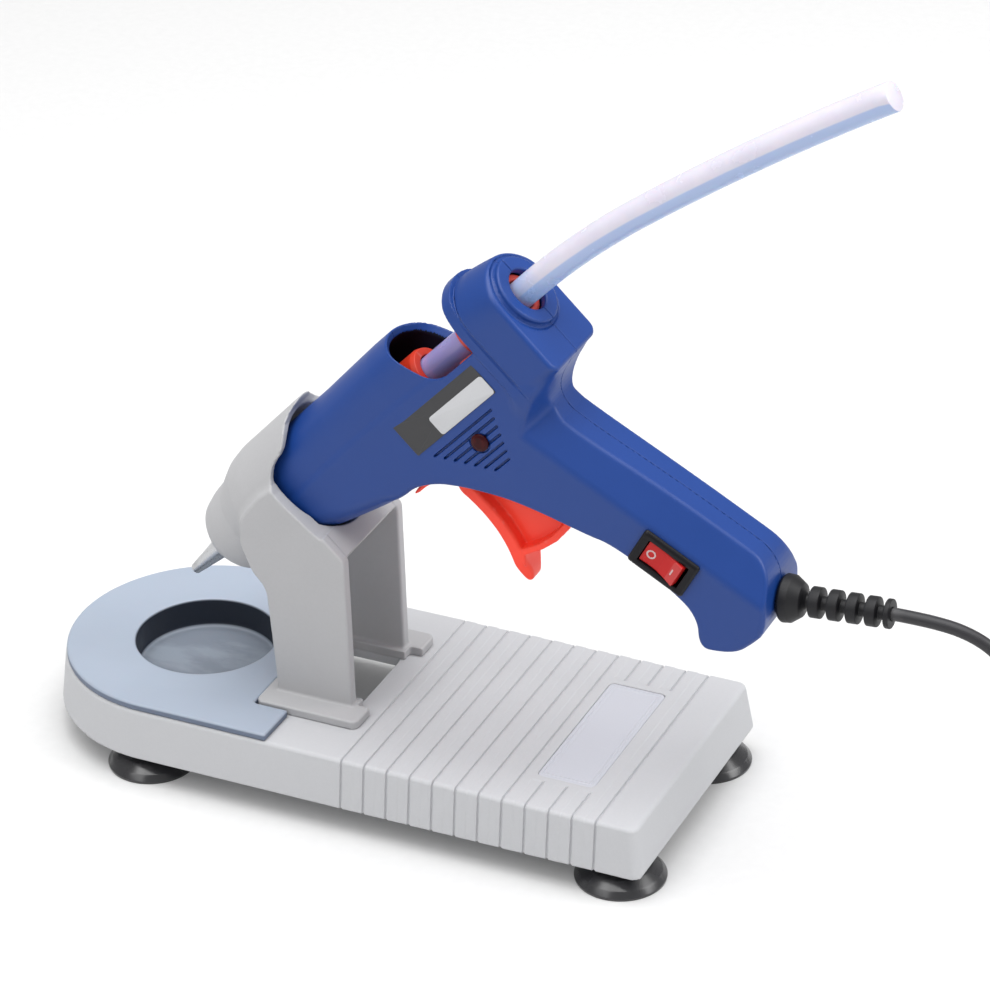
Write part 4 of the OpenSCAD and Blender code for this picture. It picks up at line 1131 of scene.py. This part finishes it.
# ---------------------------------------------------------------- switch
FACE = Place(SWITCH.at((0, -BODY_HALF, 0)), SWITCH.axes[0], SWITCH.axes[2], -SWITCH.axes[1])
points, faces = stack([ring(*values) for values in (
    (3.9, 6.4, 0.5, -9.5), (4.2, 6.7, 0.6, -9.2), (4.2, 6.7, 0.6, 0.02), (5.25, 8.2, 0.8, 0.02),
    (5.35, 8.3, 0.9, 0.12), (5.35, 8.3, 0.9, 0.75), (5.3, 8.25, 0.85, 0.86), (4.75, 7.7, 0.7, 1.26),
    (4.6, 7.55, 0.6, 1.3), (3.75, 6.3, 0.4, 1.3), (3.6, 6.12, 0.3, 1.22), (3.5, 6.02, 0.3, 1.0),
    (3.5, 6, 0.3, -6.3), (3.3, 5.8, 0.3, -6.5))])
add_piece("switch_frame", points, faces, FACE, "gun", "switch_body", M["black"])

tilt = math.radians(-9)
cy, sy = math.cos(tilt), math.sin(tilt)
# Paddle's own place: x across, y towards the gun, z along the handle
PADDLE = Place(SWITCH.at((0, -10.2, 0)), SWITCH.axes[0], cy * SWITCH.axes[1] + sy * SWITCH.axes[2],
               cy * SWITCH.axes[2] - sy * SWITCH.axes[1])
PADDLE_OUTLINE = [(-5.3, -3.4), (-2.8, -2.85), (0, -2.55), (2.8, -2.85), (5.3, -3.4), (5.5, -1), (3.4, 1.6),
                  (-3.4, 1.6), (-5.5, -1)]


def rocker_marks(x, z):
    """Distance to the circle and the bar that mark off and on."""
    return np.minimum(np.abs(np.hypot(x, z - 3.3) - 1.05) - 0.2, rect(x, z, 0, -3.4, 0.9, 0.2, 0.15))


def paddle_field(x, y, z):
    whole = rmax(polygon(z, y, PADDLE_OUTLINE), np.abs(x) - 3.3, 0.35)
    whole = whole - 0.1 * (1 - ease((rocker_marks(x, z) + 0.05) / 0.12)) * (y < -1.5)
    return np.maximum(whole, 0.82 - np.hypot(y, z))


def on_mark(x, y, z):
    return (rocker_marks(x, z) < 0.03) & (y < -1.5)


moulded("switch_rocker_red", paddle_field, lines((-3.5, 0.13), (3.5, 1)), lines((-3.8, 0.16), (1.9, 1)),
        lines((-5.8, 0.13), (5.8, 1)), PADDLE, "switch_rocker", "switch_rocker",
        [M["rocker"], M["mark"]], on_mark)


# ---------------------------------------------------------------- screws
def screw(head_r, head_h, shaft_r, shaft_l):
    """A pan head with a cross recess, its face at z = 0 and its thread going down."""
    def field(x, y, z):
        r = np.hypot(x, y)
        head = rmax(rmax(r - head_r, z, 0.45), -head_h - z, 0.1)
        ax, ay = np.abs(x), np.abs(y)
        arm = np.minimum(np.maximum(ax - 0.42, ay - 1.5), np.maximum(ay - 0.42, ax - 1.5))
        cross = np.maximum(arm + 0.35 * np.maximum(-z, 0), -1.1 - z)
        return rmax(head, -cross, 0.08)
    g = lines((-head_r - 0.2, 0.17), (head_r + 0.2, 1))
    points, quads, _ = surface(field, g, g, lines((-head_h - 0.2, 0.17), (0.2, 1)))
    thread = [(0, -head_h + 0.2), (shaft_r * 0.8, -head_h + 0.2)]
    for k in range(int((shaft_l - 1.2) / 0.9)):
        z = -head_h - 0.3 - 0.9 * k
        thread += [(shaft_r * 0.8, z), (shaft_r, z - 0.3), (shaft_r, z - 0.42), (shaft_r * 0.8, z - 0.72)]
    thread += [(shaft_r * 0.8, -head_h - shaft_l + 0.9), (0, -head_h - shaft_l)]
    return joined([(points, quads), (revolve(thread[::-1], 24))])[:2]


def screws(name, spots, parts, place_of, body, node):
    points, faces = parts
    world, all_faces = [], []
    for k, spot in enumerate(spots):
        place = place_of(spot)
        world.append(place.at(points) / MM)
        all_faces += [f + k * len(points) for f in faces]
    metres = Place((0, 0, 0), (1, 0, 0), (0, 1, 0), (0, 0, 1))
    add_piece(name, np.concatenate(world), all_faces, metres, body, node, M["steel"])


screws("housing_screws", SCREW_SPOTS, screw(2.55, 1.7, 1.2, 17.8),
       lambda s: Place(GUN.at((s[0], BODY_HALF - 0.42, s[1])), -GUN.axes[0], GUN.axes[2], GUN.axes[1]),
       "gun", "shell_screws")
screws("cradle_screws_steel", CRADLE_SCREWS, screw(2.75, 1.9, 1.2, 4.6),
       lambda s: Place(STAND.at((s[0], s[1], -4.58)), (1, 0, 0), (0, -1, 0), (0, 0, -1)),
       "stand", "cradle_screws")

# ---------------------------------------------------------------- suction cups
cup_profile = fillet([
    (0, 3.2), (4, 2.9), (9, 1.5), (10.6, 0.02), (11.9, 0.02), (12, 0.7), (10.8, 2.2), (8.4, 4),
    (5.4, 5.4), (4.6, 6.98), (2.95, 7), (2.95, 12.6), (2.5, 13), (0, 13),
], [0, 3, 3, 0.2, 0.1, 0.3, 1.5, 2.0, 1.5, 0.3, 0.2, 0.2, 0.2, 0])
for name, (x, y) in zip(("front_left", "front_right", "rear_left", "rear_right"), CUP_SPOTS):
    points, faces = revolve(cup_profile, 80)
    spot = Place(TABLE.at((x, y, 0)), *TABLE.axes)
    add_piece(f"cup_{name}", points, faces, spot, "stand", f"suction_cup_{name}", M["cup"])


# ---------------------------------------------------------------- tie and plug
def band(half_w, inner, outer):
    """A strap loop about a rectangle: loops of points across the strap's own section."""
    rows = [ring(inner[0] + t, inner[1] + t, 1.2 + t, s * half_w) for s, t in
            ((-1, 0), (-1, outer - 0.12), (-0.96, outer), (0.96, outer), (1, outer - 0.12), (1, 0))]
    return stack(rows, closed=True)


TIE = Place(TABLE.at((COIL_X, COIL_Y + 20, 5.8)), (0, 1, 0), (0, 0, 1), (1, 0, 0))
band_loop = band(2.5, (5.3, 5.15), 0.6)
head = stack([ring(2.6 - i, 3.2 - i, 0.5, z) for i, z in ((0, 5.0), (0, 6.1), (0.2, 6.3))])
head = (head[0][:, [0, 2, 1]] * (1, 1, 1), [f[:, ::-1] for f in head[1]])
points, faces, _ = joined([band_loop, head])
tie = add_piece("cord_tie_strap", points, faces, TIE, "stand", "cord_tie", M["tie"])


def plug_field(x, y, z):
    grow = ease((z - 13.5) / 14)
    hx, hy, r = 5 + 1.6 * grow, 5 + 8 * grow, 5 - 2 * grow
    body = rmax(rect(x, y, 0, 0, hx, hy, np.minimum(r, hx - 0.01)) * 0.9, np.abs(z - 31.25) - 17.75, 1.2)
    ridge = 0.35 * ease((np.cos(z * 2 * math.pi / 3) - 0.1) / 0.5) * ((z > 22) & (z < 42)) * (np.abs(y) > 4)
    body = body + ridge * 0.8
    r0 = np.hypot(x, y)
    slots = 0.45 * ease((np.cos(z * 2 * math.pi / 2.8) - 0.2) / 0.4) * (z > 1.5) * (z < 12.5)
    relief = rmax(r0 - (2.4 + 1.6 * np.clip(z / 14, 0, 1)) + slots, -z, 0.3)
    relief = np.maximum(relief, z - 15)
    return smin(body, relief, 0.8)


moulded("plug_moulded", plug_field, lines((-7, 0.42), (7, 1)), lines((-13.4, 0.5), (13.4, 1)),
        lines((-0.5, 0.4), (49.4, 1)), PLUG, "stand", "plug_body", M["plug"])
pin = revolve(fillet([(0, 48.8), (2, 48.8), (2, 67), (1.1, 68), (0, 68)], [0, 0.1, 0.6, 0.5, 0]), 40)
points, faces, _ = joined([(pin[0] + (0, s * 9.3, 0), pin[1]) for s in (-1, 1)])
pins = add_piece("plug_pins_metal", points, faces, PLUG, "stand", "plug_pins", M["plug_metal"])

# ---------------------------------------------------------------- parts kept from the frame
KEPT = {
    "valve_ball": "steel", "valve_spring": "steel", "melt_chamber": "aluminium", "chamber_ring": "phenolic",
    "ptc_heater": "ceramic", "heater_clip": "steel", "indicator_lamp": "lamp", "switch_terminals": "brass",
    "trigger_pin": "steel", "grip_jaw": "steel", "return_spring": "steel", "heater_leads": "wire",
    "mains_leads": "cord", "cord_clamp": "housing",
}
for name, material in KEPT.items():
    node = frame["nodes"][name]
    node.data.materials.clear()
    node.data.materials.append(M[material])
    if "spring" not in name and "leads" not in name and name != "valve_ball":
        edges = node.modifiers.new("soft_edges", "BEVEL")
        edges.width, edges.segments, edges.limit_method = 0.00012, 2, "ANGLE"
        edges.angle_limit = math.radians(40)

# ---------------------------------------------------------------- floor, light
bpy.ops.mesh.primitive_plane_add(size=6)
floor = bpy.context.object
floor.name = "floor"
ground = Nodes("paper_floor")
fibre = ground.noise(300.0, 3.0)
ground.link(ground.mix(ground.range(fibre, 0.3, 0.7, 0, 1), (0.70, 0.70, 0.70, 1), (0.72, 0.72, 0.72, 1)),
            ground.shader.inputs["Base Color"])
ground.set(Roughness=0.9, Specular_IOR_Level=0.1, Emission_Color=(1, 1, 1, 1), Emission_Strength=0.05)
floor.data.materials.append(ground.material)

world = bpy.data.worlds.new("studio")
scene.world = world
world.use_nodes = True
world.node_tree.nodes["Background"].inputs["Color"].default_value = (1.0, 1.0, 1.0, 1)
world.node_tree.nodes["Background"].inputs["Strength"].default_value = 0.45


def area_light(name, at, aim, size, power, colour=(1, 1, 1)):
    light = bpy.data.objects.new(name, bpy.data.lights.new(name, "AREA"))
    light.data.shape, light.data.size, light.data.size_y = "RECTANGLE", size[0], size[1]
    light.data.energy, light.data.color = power, colour
    light.location = at
    light.rotation_euler = (Vector(aim) - Vector(at)).to_track_quat("-Z", "Y").to_euler()
    scene.collection.objects.link(light)


area_light("key_light", (-0.35, -0.75, 0.95), (0, 0, 0.06), (0.7, 0.7), 3.4)
area_light("rear_light", (0.95, 0.25, 0.75), (0, 0, 0.06), (0.6, 0.6), 5.6)
area_light("top_light", (0.0, 0.0, 1.3), (0, 0, 0), (1.2, 1.2), 16.5)

scene.view_settings.view_transform = "Standard"
scene.view_settings.look = "None"
scene.view_settings.exposure = 0.0
